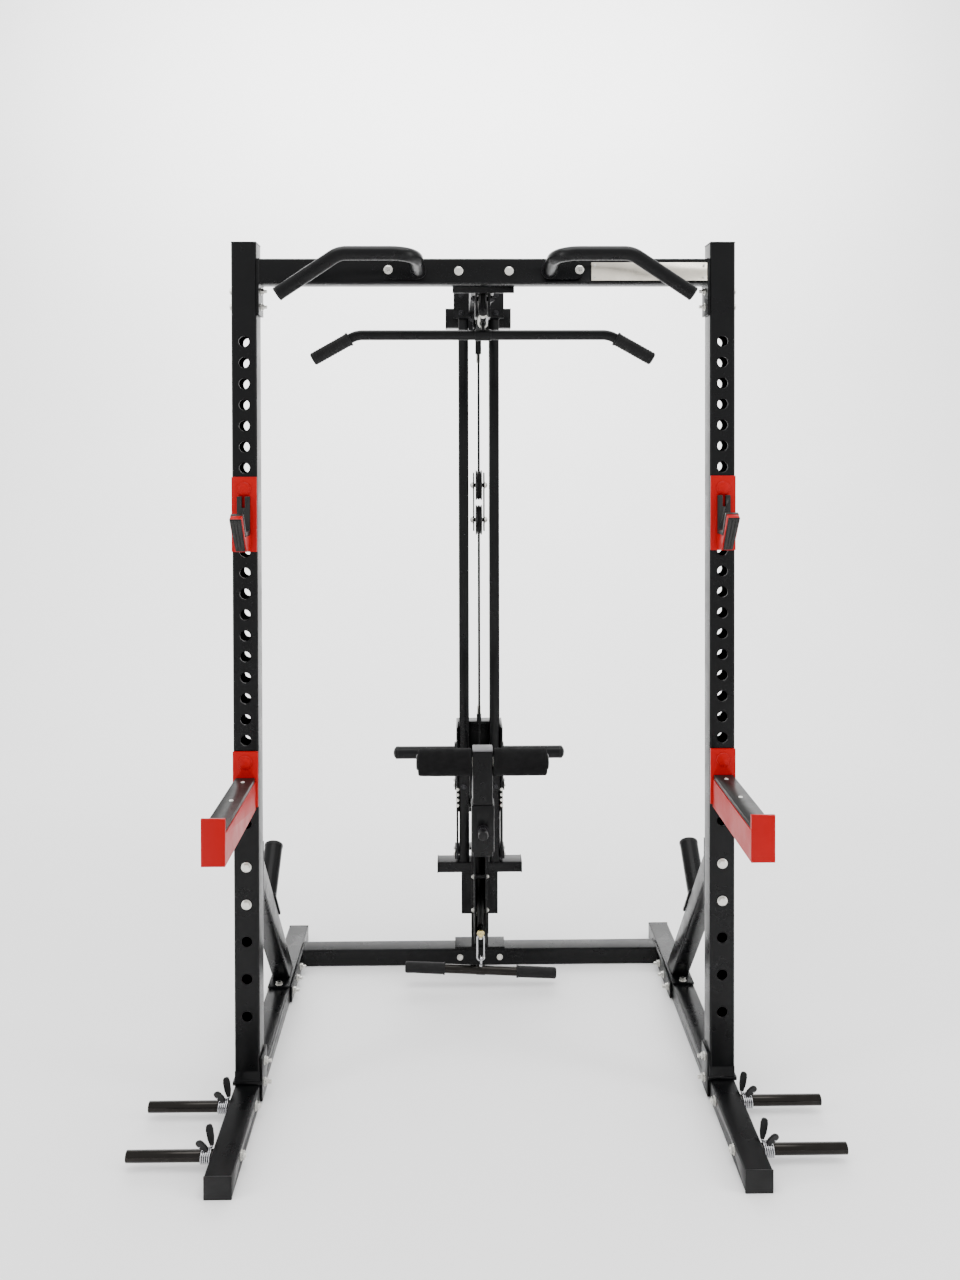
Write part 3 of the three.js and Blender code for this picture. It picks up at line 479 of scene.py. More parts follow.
def holed_upright(side, s):
    """Upright with rounded corners and clean round holes whose rims are slightly broken."""
    bm = bmesh.new()
    centre = at(s * POST_X, TUBE / 2, 0)
    loops = []
    for width, radius in ((TUBE, 5), (TUBE - 6, 3)):
        outline = rounded_outline(width, width, radius)
        for z in (POST_LOW, POST_HIGH):
            loops.append(ring(bm, [centre + Vector((x * MM, y * MM, z * MM)) for x, y in outline]))
    outer_low, outer_high, inner_low, inner_high = loops
    stitch(bm, outer_low, outer_high)
    stitch(bm, inner_high, inner_low)
    stitch(bm, outer_high, inner_high)
    stitch(bm, inner_low, outer_low)
    name = "upright_body_" + side
    body_mesh = mesh_of(name, bm)
    cutter = bmesh.new()
    rim = HOLE_RADIUS + 1.2
    profile = [(0, -2), (rim + 2, -2), (rim, 0), (HOLE_RADIUS, 1.2), (HOLE_RADIUS, 58.8), (rim, 60),
        (rim + 2, 62), (0, 62)]
    for z in HOLE_Z:
        add_lathe(cutter, profile, turn_to((0, 1, 0), at(s * POST_X, 0, z)), 32)
    tool = bpy.data.objects.new("drill", mesh_of("drill", cutter))
    bpy.context.scene.collection.objects.link(tool)
    blank = bpy.data.objects.new("blank", body_mesh)
    bpy.context.scene.collection.objects.link(blank)
    drill = blank.modifiers.new("drill", "BOOLEAN")
    drill.object = tool
    drill.operation = "DIFFERENCE"
    drill.solver = "EXACT"
    shaped = bpy.data.meshes.new_from_object(blank.evaluated_get(bpy.context.evaluated_depsgraph_get()))
    bpy.data.objects.remove(blank)
    bpy.data.objects.remove(tool)
    shaped.materials.clear()
    piece = finish_piece(name, shaped, BLACK, "frame", 30)
    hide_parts("upright_" + side)


# ---------------------------------------------------------------- fasteners
def add_bolt(bm, point, direction, size=8.5, head=6.5, washer=1.6, stud=0):
    """Hexagon head or nut on a washer; size is the head's radius over its corners."""
    place = turn_to(direction, point)
    add_lathe(bm, [(0, 0), (size * 1.22, 0), (size * 1.22, washer * 0.7), (size * 1.14, washer), (0, washer)],
        place, 32)
    flat = size * 0.88
    top = washer + head
    add_lathe(bm, [(0, washer), (size, washer), (size, top - 1.1), (flat * 0.94, top), (0, top)], place, 6)
    if stud:
        add_lathe(bm, [(0, top - 1), (size * 0.52, top - 1), (size * 0.52, top + stud - 1),
            (size * 0.4, top + stud), (0, top + stud)], place, 20)


def bolts(name, body, places, size=8.5, head=6.5, stud=0, material=None):
    bm = bmesh.new()
    for point, direction in places:
        add_bolt(bm, point, direction, size, head, stud=stud)
    return finish_piece(name, mesh_of(name, bm), material or ZINC, body, 25)


def head_cover():
    """Black plate between the tops of the guide tubes, behind the front cable run."""
    block("head_cover", (-30.5, 653.6, 1899), (30.5, 657.6, 1951.6), BLACK, "frame")


def frame_fasteners():
    ahead, behind = (0, -1, 0), (0, 1, 0)
    bolts("bolts_beam_middle", "frame", [(at(x, 0, BEAM_Z), ahead) for x in BEAM_BOLT_X])
    bolts("nuts_beam_middle", "frame", [(at(x, 66, BEAM_Z), behind) for x in BEAM_BOLT_X], stud=5)
    bolts("bolts_crossmember_front", "frame", [(at(x, CROSS_FRONT, 25), ahead) for x in BEAM_BOLT_X], 7.5, 6)
    bolts("nuts_crossmember_back", "frame", [(at(x, CROSS_BACK + PLATE, 25), behind) for x in BEAM_BOLT_X],
        stud=5)
    for side, s in SIDES:
        inward = (-s, 0, 0)
        outward = (s, 0, 0)
        x = s * POST_X
        bolts("bolts_brace_" + side, "frame", [(at(x, 0, z), ahead) for z in BRACE_BOLT_Z], 10, 6)
        bolts("nuts_brace_" + side, "frame", [(at(x, 66, z), behind) for z in (463, 592)], stud=5)
        bolts("bolt_handle_" + side, "frame", [(at(s * HANDLE_BOLT_X, -PLATE - GAP, HANDLE_Z), ahead)])
        plate_x = s * (INNER_X - PLATE)
        bolts("nuts_beam_ear_" + side, "frame", [(at(plate_x, 30, z), inward) for z in (1910, 1947)], 7.5, 6,
            7)
        bolts("bolts_beam_ear_" + side, "frame", [(at(s * OUTER_X, 30, z), outward) for z in (1910, 1947)])
        bolts("nuts_base_" + side, "frame", [(at(plate_x, 30, z), inward) for z in (38, 90)], stud=9)
        bolts("nuts_cross_ear_" + side, "frame", [(at(plate_x, y, 25), inward) for y in (480, 547, 613)],
            stud=9)
        bolts("bolts_rail_" + side, "frame",
            [(at(s * OUTER_X, y, z), outward) for y, z in ((30, 38), (480, 25), (547, 25), (613, 25))])
        bolts("bolts_brace_foot_" + side, "frame", [(at(x, y, 56), (0, 0, 1)) for y in (453, 577)])
        knee = [(at(s * 47, 652, z), ahead) for z in (545, 625)]
        bolts("bolts_knee_arm_" + side, "frame", knee, 7, 5, material=DARK_STEEL)
        bolts("bolts_head_" + side, "frame", [(at(s * 52, 654, z), ahead) for z in (1967, 2020)], 7, 5,
            material=DARK_STEEL)
        bolts("nuts_low_bracket_" + side, "frame",
            [(at(s * 18.5, TOP_REAR_Y, z), outward) for z in (LOW_Z, 292)], 6, 4, 2)
        tops = [(at(s * 19, y, TOP_Z), outward) for y in (TOP_FRONT_Y, TOP_REAR_Y)]
        bolts("nuts_top_pulleys_" + side, "frame", tops, 9, 6, 3, DARK_STEEL)
        mid = [(at(s * 17.5, TOWER_Y, z), outward) for z in (BLOCK_UPPER_Z, BLOCK_LOWER_Z)]
        bolts("nuts_block_" + side, "floating_block", mid, 9, 5, 2)


# ---------------------------------------------------------------- weld beads
def weld_bead(name, loop, body, radius=2.2):
    """A rippled bead along a closed loop of rack points."""
    corners = [at(*p) for p in loop]
    points = []
    for a, b in zip(corners, corners[1:] + corners[:1]):
        points += straight(a, b, 2.2)[:-1]
    points.append(points[0])
    ripple = [radius * (0.82 + 0.18 * math.sin(i * 2.1)) for i in range(len(points))]
    return sweep(name, points, ripple, BLACK, body, 8, False, 60)


def rectangle_loop(axis, level, a0, a1, b0, b1):
    """Corners of a rectangle at a level on one axis, spanning the two other axes in order."""
    corners = ((a0, b0), (a1, b0), (a1, b1), (a0, b1))
    if axis == "x":
        return [(level, a, b) for a, b in corners]
    if axis == "y":
        return [(a, level, b) for a, b in corners]
    return [(a, b, level) for a, b in corners]


def frame_welds():
    for side, s in SIDES:
        inner = s * (INNER_X - PLATE)
        x = s * POST_X
        weld_bead("weld_beam_" + side, rectangle_loop("x", inner, 0.5, 59.5, 1962.5, 2021.5), "frame")
        weld_bead("weld_cross_" + side, rectangle_loop("x", inner, 660.5, 719.5, 3.5, 49), "frame")
        weld_bead("weld_foot_" + side, rectangle_loop("z", 58, x - 30, x + 30, 0, 60), "frame", 1.8)
        weld_bead("weld_knee_" + side, rectangle_loop("y", 652, s * 31, s * 25, 550, 622), "frame", 1.6)
    weld_bead("weld_arm_front", rectangle_loop("y", 66, -30, 30, 1962.5, 2021.5), "frame")
    weld_bead("weld_arm_rear", rectangle_loop("y", 654, -30, 30, 1962.5, 2021.5), "frame")
    weld_bead("weld_sleeve", rectangle_loop("y", 285, -25, 25, 560.5, 609.5), "frame", 1.8)
    weld_bead("weld_post", rectangle_loop("z", 56, -25, 25, 668, 716), "frame", 1.8)


# ---------------------------------------------------------------- pegs, handles and trim
def pull_up_handle(side, s):
    root = at(s * 156, -4, HANDLE_ROOT_Z)
    corners = [root, at(s * 156, -165, HANDLE_FRONT_Z), at(s * 326, -165, HANDLE_FRONT_Z),
        at(s * HANDLE_TIP[0], -165, HANDLE_TIP[1])]
    bar = sweep("handle_bar_" + side, bend(corners, 55, 16), 16, BLACK, "frame", 32)
    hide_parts("pull_up_handle_" + side)
    along = (corners[3] - corners[2]).normalized()
    profile = [(0, -1), (16.3, -1), (16.5, 0.2), (16.5, 2.2), (15, 4), (0, 4.6)]
    lathe("handle_plug_" + side, profile, corners[3] - along * 0.003, along, PLASTIC, "frame")
    outline = rounded_outline(98, 44, 20, 8)
    slab("handle_plate_" + side, outline, PLATE, at(s * 186, -GAP, HANDLE_Z), (0, -1, 0), BLACK, "frame")
    bead_ring("handle_weld_" + side, at(s * 156, -PLATE - 1, HANDLE_ROOT_Z), (0, -1, 0), 16.5)


def bead_ring(name, centre, axis, radius, body="frame"):
    """A rippled weld bead in a circle round an axis."""
    turned = turn_to(axis).to_3x3()
    points = []
    for k in range(57):
        angle = 2 * math.pi * k / 56
        points.append(centre + turned @ Vector((math.cos(angle), math.sin(angle), 0)) * radius * MM)
    ripple = [2.0 * (0.85 + 0.15 * math.sin(i * 2.3)) for i in range(len(points))]
    sweep(name, points, ripple, BLACK, body, 8, False)


def storage_peg(side, s):
    run = (BRACE_FOOT - BRACE_TOP).normalized()
    out = Vector((0, -run.z, run.y))
    base = BRACE_TOP + run * 272
    face = BRACE_HALF + GAP

    def on_brace(along, lift):
        p = BRACE_TOP + run * along + out * lift
        return at(s * POST_X, p.y, p.z)

    start = on_brace(272, face + PLATE)
    sleeve = [(0, 0), (24.5, 0), (24.5, 147), (0, 147)]
    peg = lathe("peg_sleeve_" + side, sleeve, start, out, BLACK, "frame", 64)
    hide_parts("storage_peg_" + side)
    cap = [(24.6, 143), (25.2, 143.5), (25.2, 149)]
    cap += [(25.2 * math.cos(a), 149 + 8 * math.sin(a)) for a in [math.radians(10 * k) for k in range(1, 9)]]
    lathe("peg_cap_" + side, [(0, 142)] + cap + [(0, 157)], start, out, PLASTIC, "frame", 64)
    outline = rounded_outline(56, 120, 4, 3)
    place = Matrix.Translation(on_brace(294, face)) @ Matrix((
        (1, 0, 0, 0),
        (0, run.y, out.y, 0),
        (0, run.z, out.z, 0),
        (0, 0, 0, 1),
    ))
    bm = bmesh.new()
    add_slab(bm, outline, PLATE, place)
    finish_piece("peg_flange_" + side, mesh_of("peg_flange", bm), BLACK, "frame")
    bolts("peg_bolts_" + side, "frame", [(on_brace(a, face + PLATE), out) for a in (241, 344)], 7, 5)
    bead_ring("peg_weld_" + side, start, out, 25.5)


def band_peg(side, s, row, y):
    start = at(s * (OUTER_X + GAP), y, PEG_Z)
    length = PEG_END - OUTER_X - GAP
    # The peg's near-black chrome is a painted dark reflection.
    bar = lathe("peg_bar_" + row + "_" + side, rounded_rod(length, PEG_RADIUS, 1.6), start, (s, 0, 0),
        CHROME_PAINTED_DARK_REFLECTION, "frame", 48)
    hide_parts("band_peg_" + row + "_" + side)
    bolts("peg_nut_" + row + "_" + side, "frame", [(at(s * INNER_X, y, PEG_Z), (-s, 0, 0))], 9.5, 7, 3)


def spring_collar(side, s, row, y):
    """Spring clip: five turns of wire round the peg and two tangs with flat plastic grips."""
    body = "spring_collar_" + row + "_" + side
    name = row + "_" + side
    wire, turns, first = 2.0, 5, OUTER_X + 5
    radius = PEG_RADIUS + wire + 0.3
    start = math.radians(60)
    sweep_angle = turns * 2 * math.pi - start
    count = turns * 32
    points = []
    for k in range(count + 1):
        angle = start + sweep_angle * k / count
        points.append(at(s * (first + 22 * k / count), y + radius * math.cos(angle),
            PEG_Z + radius * math.sin(angle)))
    tips = []
    for end, lean in ((points[0], 1), (points[-1], -1)):
        tips.append(at(end.x / MM, y + lean * 17, PEG_Z + 30))
    clip = sweep("clip_wire_" + name, [tips[0]] + points + [tips[1]], wire, CHROME, body, 10)
    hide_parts(body)
    grips = ((1, points[0], 10, 56), (-1, points[len(points) // 3], 18, 44))
    for i, (lean, end, outward, rise) in enumerate(grips):
        x = end.x / MM
        foot = at(x, y + lean * 8, PEG_Z + 17)
        tip = at(x + s * outward, y + lean * 20, PEG_Z + rise)
        along = (tip - foot).normalized()
        thick = along.cross(Vector((1, 0, 0))).normalized()
        wide = thick.cross(along)
        place = Matrix((
            (wide.x, along.x, thick.x, foot.x - thick.x * 0.003),
            (wide.y, along.y, thick.y, foot.y - thick.y * 0.003),
            (wide.z, along.z, thick.z, foot.z - thick.z * 0.003),
            (0, 0, 0, 1),
        ))
        top = (tip - foot).length / MM
        half = [(4, 0), (7.5, top * 0.35), (8.2, top * 0.75), (6.4, top * 0.94), (3, top)]
        outline = half + [(-a, h) for a, h in reversed(half)]
        bm = bmesh.new()
        add_slab(bm, outline, 6, place, 1.2)
        finish_piece("clip_grip_%d_%s" % (i, name), mesh_of("clip_grip", bm), PLASTIC, body)


def cup_face(side, s):
    """Black wear plate with three ribs on the slanting underside of the J-cup's hook."""
    low, high = Vector((-46, 1330)), Vector((-106, 1411))
    run = (high - low).normalized()
    out = Vector((-run.y, run.x))
    start = low + run * 3
    place = Matrix((
        (1, 0, 0, s * POST_X * MM),
        (0, run.x, out.x, FRONT + start.x * MM),
        (0, run.y, out.y, start.y * MM),
        (0, 0, 0, 1),
    ))
    length = (high - low).length - 2
    bm = bmesh.new()
    add_slab(bm, [(-11, 0), (11, 0), (13.6, length), (-13.6, length)], 2, place, 0.6)
    for x in (-8, 0, 8):
        rib = [(x * 0.82 - 2.6, 2), (x * 0.82 + 2.6, 2), (x + 3, length - 2), (x - 3, length - 2)]
        add_slab(bm, rib, 3.6, place, 0.7)
    finish_piece("cup_face_" + side, mesh_of("cup_face", bm), LINER, "j_cup_" + side)


def boss(name, body, point):
    """Round embossed disc over the pin of a J-cup or spotter arm."""
    profile = [(0, 0), (16, 0), (16, 2.6), (14.6, 4.2), (11.6, 4.4), (10.6, 2.4), (5.2, 2.2), (4.4, 3.4),
        (0, 3.6)]
    lathe(name, profile, point, (0, -1, 0), RED, body, 48)


def trim():
    for side, s in SIDES:
        boss("cup_boss_" + side, "j_cup_" + side, at(s * POST_X, -PLATE - GAP, CUP_HOLE))
        boss("arm_boss_" + side, "spotter_arm_" + side, at(s * POST_X, -PLATE - GAP, ARM_HOLE))
        cup_face(side, s)
        screws = bmesh.new()
        for y in (-37, -163, -289):
            profile = [(0, 0), (5, 0), (4.4, 1.2), (2.4, 1.4), (2, 0.5), (0, 0.5)]
            add_lathe(screws, profile, turn_to((0, 0, 1), at(s * POST_X, y, 788)), 24)
        finish_piece("liner_screws_" + side, mesh_of("liner_screws", screws), ZINC, "spotter_arm_" + side)
    rivets = bmesh.new()
    for x in (264, 524):
        for z in (1976, 2005):
            profile = [(0, 0), (3.2, 0), (2.9, 0.9), (1.6, 1.5), (0, 1.7)]
            add_lathe(rivets, profile, turn_to((0, -1, 0), at(x, -2.3, z)), 20)
    finish_piece("nameplate_rivets", mesh_of("rivets", rivets), ZINC, "frame")
    for side, s in SIDES:
        block("guide_cap_" + side, (s * GUIDE_X - 15, 660, 2030.3), (s * GUIDE_X + 15, 720, 2034), PLASTIC,
            "frame")
        ends = ((s * 125, s * 128, 660, 720, 281, 313, "shelf"),
            (s * 97, s * 100, 722, 782, 1929, 1989, "bridge"))
        for xa, xb, y0, y1, z0, z1, place in ends:
            lo, hi = sorted((xa, xb))
            block("%s_cap_%s" % (place, side), (lo, y0, z0), (hi, y1, z1), PLASTIC, "frame")
        lathe("bumper_" + side, rounded_rod(11, 13, 2.5), at(s * 60, 735, 313.3), (0, 0, 1), RUBBER, "frame")


# ---------------------------------------------------------------- pulleys and cables
def pulley(node, y, z):
    """Grooved nylon wheel with a recessed web, and a bearing in its hub."""
    groove = PULLEY_PITCH - CABLE_RADIUS - 0.4
    half = [(15.5, 9.8), (17.5, 6.5), (33, 6.5), (36, 9.4), (44.6, 9.4), (45.6, 8.6), (45.2, 7.2),
        (groove + 1.4, 2.6), (groove, 0)]
    profile = [(15.5, -9.8)] + [(r, -x) for r,
        x in half[1:-1]] + [(groove, 0)] + list(reversed(half[:-1])) + [(15.5, -9.8)]
    wheel = lathe(node + "_wheel", profile, at(0, y, z), (1, 0, 0), NYLON, node, 72)
    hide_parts(node)
    race = [(6.7, -10.2), (15.3, -10.2), (15.3, 10.2), (6.7, 10.2), (6.7, -10.2)]
    lathe(node + "_bearing", race, at(0, y, z), (1, 0, 0), ZINC, node, 48)
    holes = bmesh.new()
    for k in range(5):
        a = math.radians(72 * k)
        centre = at(0, y + 25.5 * math.cos(a), z + 25.5 * math.sin(a))
        for way in (-1, 1):
            profile = [(0, 0), (4.6, 0), (4.6, 1.2), (3.8, 1.5), (3.4, 0.5), (0, 0.5)]
            add_lathe(holes, profile, turn_to((way, 0, 0), centre + Vector((way * 6.4 * MM, 0, 0))), 20)
    finish_piece(node + "_bosses", mesh_of("bosses", holes), NYLON, node)


def cable(name, points, body=None, blend=None, stands_for=None):
    piece = sweep(name, points, CABLE_RADIUS, COATED_CABLE, body, 12)
    if blend:
        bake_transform(piece)
    if stands_for:
        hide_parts(stands_for)
    return piece


def cables():
    drop_low, drop_high = at(0, DROP_Y, 1915), at(0, DROP_Y, TOP_Z)
    cable("lat_cable_drop", straight(drop_low, drop_high), blend=("frame", "lat_hook", drop_high, drop_low))
    over = wrap(TOP_FRONT_Y, TOP_Z, 180, 90) + wrap(TOP_REAR_Y, TOP_Z, 90, 0)
    cable("lat_cable_top", over, "frame", stands_for="lat_cable")
    a, b = at(0, FRONT_RUN, TOP_Z), at(0, FRONT_RUN, BLOCK_UPPER_Z)
    cable("lat_cable_front_run", straight(a, b), blend=("frame", "floating_block", a, b))
    cable("lat_cable_under_block", wrap(TOWER_Y, BLOCK_UPPER_Z, 180, 360, 32), "floating_block")
    a, b = at(0, BACK_RUN, ANCHOR_Z), at(0, BACK_RUN, BLOCK_UPPER_Z)
    cable("lat_cable_back_run", straight(a, b), blend=("frame", "floating_block", a, b))
    low, high = at(0, BACK_RUN, 744), at(0, BACK_RUN, BLOCK_LOWER_Z)
    far = high + (high - low)
    cable("row_cable_carriage_run", straight(low, high), blend=("frame", "carriage", far, low))
    cable("row_cable_over_block", wrap(TOWER_Y, BLOCK_LOWER_Z, 0, 180, 32), "floating_block")
    a, b = at(0, FRONT_RUN, LOW_Z), at(0, FRONT_RUN, BLOCK_LOWER_Z)
    cable("row_cable_front_run", straight(a, b), blend=("frame", "floating_block", a, b))
    cable("row_cable_low_turn", wrap(TOP_REAR_Y, LOW_Z, 0, -90), "frame", stands_for="row_cable")
    a, b = at(0, TOP_REAR_Y, LOW_Z - PULLEY_PITCH), at(0, ROW_Y + 14, LOW_Z - PULLEY_PITCH)
    cable("row_cable_exit", straight(a, b), blend=("frame", "row_hook", a, b))
    ferrule = [(0, 0), (5.4, 0), (6, 1), (6, 26), (4.6, 30), (3.2, 31), (0, 31)]
    lathe("carriage_ferrule", ferrule, at(0, BACK_RUN, 740), (0, 0, 1), ZINC, "carriage", 28)
    lathe("anchor_ferrule", ferrule, at(0, BACK_RUN, 1852), (0, 0, -1), ZINC, "frame", 28)


def snap_hook(name, node, body, y, low, high, width, wire, colour, ball_z, ball_y, ball_radius,
    ball_material):
    """Cast snap hook with a pinned gate, below the ball stop it hangs from."""
    r = width / 2 - wire
    top, bottom = high - wire - r, low + wire + r
    points = []
    for k in range(17):
        angle = math.radians(20 + 160 * k / 16)
        points.append(at(r * math.cos(angle), y, top + r * math.sin(angle)))
    points += straight(at(-r, y, top), at(-r, y, bottom), 8)[1:-1]
    for k in range(17):
        angle = math.radians(180 + 165 * k / 16)
        points.append(at(r * math.cos(angle), y, bottom + r * math.sin(angle)))
    hook = sweep(name + "_body", points, wire, colour, body, 16)
    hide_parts(node)
    gate = straight(at(r - 0.2, y, bottom - 1), at(r - 0.2, y, top + 3), 6)
    sweep(name + "_gate", gate, wire * 0.8, CHROME, body, 14)
    pin = [(0, -wire - 1), (1.6, -wire - 1), (1.6, wire + 1), (0, wire + 1)]
    lathe(name + "_pin", pin, at(r - 0.2, y, bottom + 1), (0, 1, 0), ZINC, body, 16)
    profile = []
    for k in range(13):
        angle = math.radians(-90 + 15 * k)
        profile.append((ball_radius * math.cos(angle) if 0 < k < 12 else 0, ball_radius * math.sin(angle)))
    lathe(name + "_ball", profile, at(0, ball_y, ball_z), (0, 0, 1), ball_material, body, 36,
        60)
    collar = [(0, 0), (4.6, 0), (5, 0.6), (5, 5), (4.4, 6), (0, 6)]
    lathe(name + "_shank", collar, at(0, ball_y, ball_z - ball_radius - 4), (0, 0, 1), ZINC, body,
        24)


# ---------------------------------------------------------------- bars and grips
def grip_profile(length, radius, ribs, rib_depth=0.7):
    """Moulded grip with a flange at its inner end, ribs along it and a rounded outer end."""
    points = [(0, 0), (radius + 1.2, 0), (radius + 1.6, 1), (radius + 1.4, 4), (radius, 6)]
    usable = length - 16
    for k in range(ribs):
        z = 8 + usable * k / ribs
        step = usable / ribs
        points += [(radius, z), (radius, z + step * 0.55), (radius - rib_depth, z + step * 0.65),
            (radius - rib_depth, z + step * 0.9)]
    points += [(radius, length - 7), (radius - 0.6, length - 3), (radius - 3.2, length - 0.6), (0, length)]
    return points


def lat_bar():
    corners = [at(-421, DROP_Y, 1790), at(-314, DROP_Y, LAT_Z), at(314, DROP_Y, LAT_Z), at(421, DROP_Y, 1790)]
    bar = sweep("lat_bar_tube", bend(corners, 60, 12), 12.5, BLACK, "lat_bar", 32)
    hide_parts("lat_bar")
    for i, (tip, corner) in enumerate(((corners[0], corners[1]), (corners[3], corners[2]))):
        along = (tip - corner).normalized()
        lathe("lat_grip_%d" % i, grip_profile(106, 16.3, 12), tip - along * 0.1045, along, RUBBER, "lat_bar",
            48, 30)
    bm = bmesh.new()
    eye = [(6.5, -3.2), (7.2, -4), (12.6, -4), (13.6, -3), (13.6, 3), (12.6, 4), (7.2, 4), (6.5, 3.2),
        (6.5, -3.2)]
    add_lathe(bm, eye, turn_to((1, 0, 0), at(0, DROP_Y, LAT_Z + 19)), 40)
    add_lathe(bm, rounded_rod(40, 14.2, 1.5), turn_to((1, 0, 0), at(-20, DROP_Y, LAT_Z)), 40)
    finish_piece("lat_bar_eye", mesh_of("eye", bm), BLACK, "lat_bar")


def tilted(x, y, z):
    """A point of the row handle, which hangs a little lower on its right."""
    return at(x * math.cos(ROW_TILT) + z * math.sin(ROW_TILT), ROW_Y + y,
        ROW_Z - x * math.sin(ROW_TILT) + z * math.cos(ROW_TILT))


def row_bar():
    axis = (tilted(1, 0, 0) - tilted(0, 0, 0)).normalized()
    # The bar's and barrel's near-black chrome is a painted dark reflection.
    bar = lathe("row_bar_tube", rounded_rod(436, 12.5, 1), tilted(-218, 0, 0), axis, CHROME_PAINTED_DARK_REFLECTION, "row_bar",
        48)
    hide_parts("row_bar")
    for i, s in enumerate((-1, 1)):
        lathe("row_grip_%d" % i, grip_profile(116, 15.6, 1, 0.3), tilted(s * 104, 0, 0), axis * s, RUBBER,
            "row_bar", 48, 30)
    bm = bmesh.new()
    up = (tilted(0, 0, 1) - tilted(0, 0, 0)).normalized()
    eye = [(7, -2.4), (7.8, -3), (12.4, -3), (13, -2.4), (13, 2.4), (12.4, 3), (7.8, 3), (7, 2.4), (7, -2.4)]
    add_lathe(bm, eye, turn_to(axis, tilted(0, 0, 28)), 36)
    add_lathe(bm, [(0, 0), (7, 0), (5, 7), (0, 7)], turn_to(up, tilted(0, 0, 11)), 24)
    finish_piece("row_bar_eye", mesh_of("row_eye", bm), CHROME, "row_bar")
    lathe("row_bar_barrel", rounded_rod(26, 13.6, 1.5), tilted(-13, 0, 0), axis, CHROME_PAINTED_DARK_REFLECTION, "row_bar",
        40)


# ---------------------------------------------------------------- carriage and knee hold-down
def carriage():
    bm = bmesh.new()
    for side in (-1, 1):
        lo, hi = sorted((side * 64, side * 70))
        add_block(bm, (lo, 652, 325), (hi, 768, 722), 1.2)
    add_block(bm, (-64, 762, 430), (64, 768, 722), 1.0)
    add_block(bm, (-64, 724, 714), (64, 762, 722), 1.0)
    add_block(bm, (-64, 724, 325), (64, 768, 333), 1.0)
    add_block(bm, (-7, BACK_RUN - 7, 721), (7, BACK_RUN + 7, 744), 1.5)
    plates = finish_piece("carriage_plates", mesh_of("carriage", bm), BLACK, "carriage")
    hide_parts("weight_carriage")
    for side, s in SIDES:
        sleeve = [(0, 0), (19, 0), (19, 186), (0, 186)]
        lathe("horn_" + side, sleeve, at(s * 70, HORN_Y, HORN_Z), (s, 0, 0), BLACK, "carriage",
            56)
        dome = [(0, 178), (19.4, 178),
            (19.4, 180)] + [(19.4 * math.cos(a),
            180 + 14 * math.sin(a)) for a in [math.radians(10 * k) for k in range(1, 9)]] + [(0, 194)]
        lathe("horn_cap_" + side, dome, at(s * 70, HORN_Y, HORN_Z), (s, 0, 0), PLASTIC, "carriage",
            56)
        disc = [(0, 0), (31, 0), (32, 1), (32, 5), (31, 6), (0, 6)]
        lathe("horn_flange_" + side, disc, at(s * 70, HORN_Y, HORN_Z), (s, 0, 0), BLACK, "carriage",
            56)
        pads = bmesh.new()
        screws = bmesh.new()
        for z in (325, 533):
            lo, hi = sorted((s * 70.2, s * 75))
            add_block(pads, (lo, 655, z), (hi, 726, z + 24), 1.5)
            lo, hi = sorted((s * 61.4, s * 63.8))
            add_block(pads, (lo, 660, z), (hi, 720, z + 24), 0.5)
            for y in (666, 714):
                add_bolt(screws, at(s * 75, y, z + 12), (s, 0, 0), 4.5, 3, 0.8)
        finish_piece("slide_pads_" + side, mesh_of("pads", pads), PLASTIC, "carriage")
        for k in range(4):
            add_bolt(screws, at(s * 66.5, 652, 488 + 16 * k), (0, -1, 0), 4, 2.6, 0.6)
        finish_piece("pad_screws_" + side, mesh_of("pad_screws", screws), ZINC, "carriage", 25)


def knee_hold_down():
    bm = bmesh.new()
    half = TUBE / 2 - 3 - 0.8
    add_block(bm, (-half, KNEE_Y - half, 500), (half, KNEE_Y + half, 776), 3)
    post = finish_piece("knee_post_tube", mesh_of("knee_post", bm), BLACK, "knee_post")
    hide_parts("knee_post")
    block("knee_post_cap", (-half, KNEE_Y - half, 776.2), (half, KNEE_Y + half, 780), GREY_PLASTIC,
        "knee_post", 1.5)
    lathe("roller_axle", rounded_rod(344, 12.5, 1), at(-172, KNEE_Y, KNEE_Z), (1, 0, 0), ZINC, "knee_post")
    holes = bmesh.new()
    for z in (507, 655, 690):
        add_lathe(holes, [(0, 0), (6.5, 0), (6.5, 0.4), (5.6, 0.6), (5.2, 0.1), (0, 0.1)],
            turn_to((0, -1, 0), at(0, KNEE_Y - half, z)), 24)
    finish_piece("knee_post_holes", mesh_of("post_holes", holes), BLACK, "knee_post")
    for side, s in SIDES:
        disc = [(0, 0), (19, 0), (20, 0.8), (20, 2.4), (16, 4.4), (0, 4.8)]
        lathe("axle_disc_" + side, disc, at(s * 169.8, KNEE_Y, KNEE_Z), (s, 0, 0), PLASTIC, "knee_post")
        foam_roller(side, s)
    front = KNEE_Y - TUBE / 2
    knob = [(0, 18), (8, 18), (9, 20), (12.6, 24), (13, 28), (13, 38), (11.5, 43), (6, 45.5), (0, 46)]
    pin = lathe("pin_knob", knob, at(0, front, PIN_Z), (0, -1, 0), PLASTIC, "pull_pin", 40)
    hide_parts("pull_pin")
    lathe("pin_shank", [(0, -2.4), (5.6, -2.4), (5.8, -1.6), (5.8, 20), (0, 20)], at(0, front, PIN_Z),
        (0, -1, 0), ZINC, "pull_pin", 24)
    bolts("pin_collar", "frame", [(at(0, front, PIN_Z), (0, -1, 0))], 11, 8, material=DARK_STEEL)


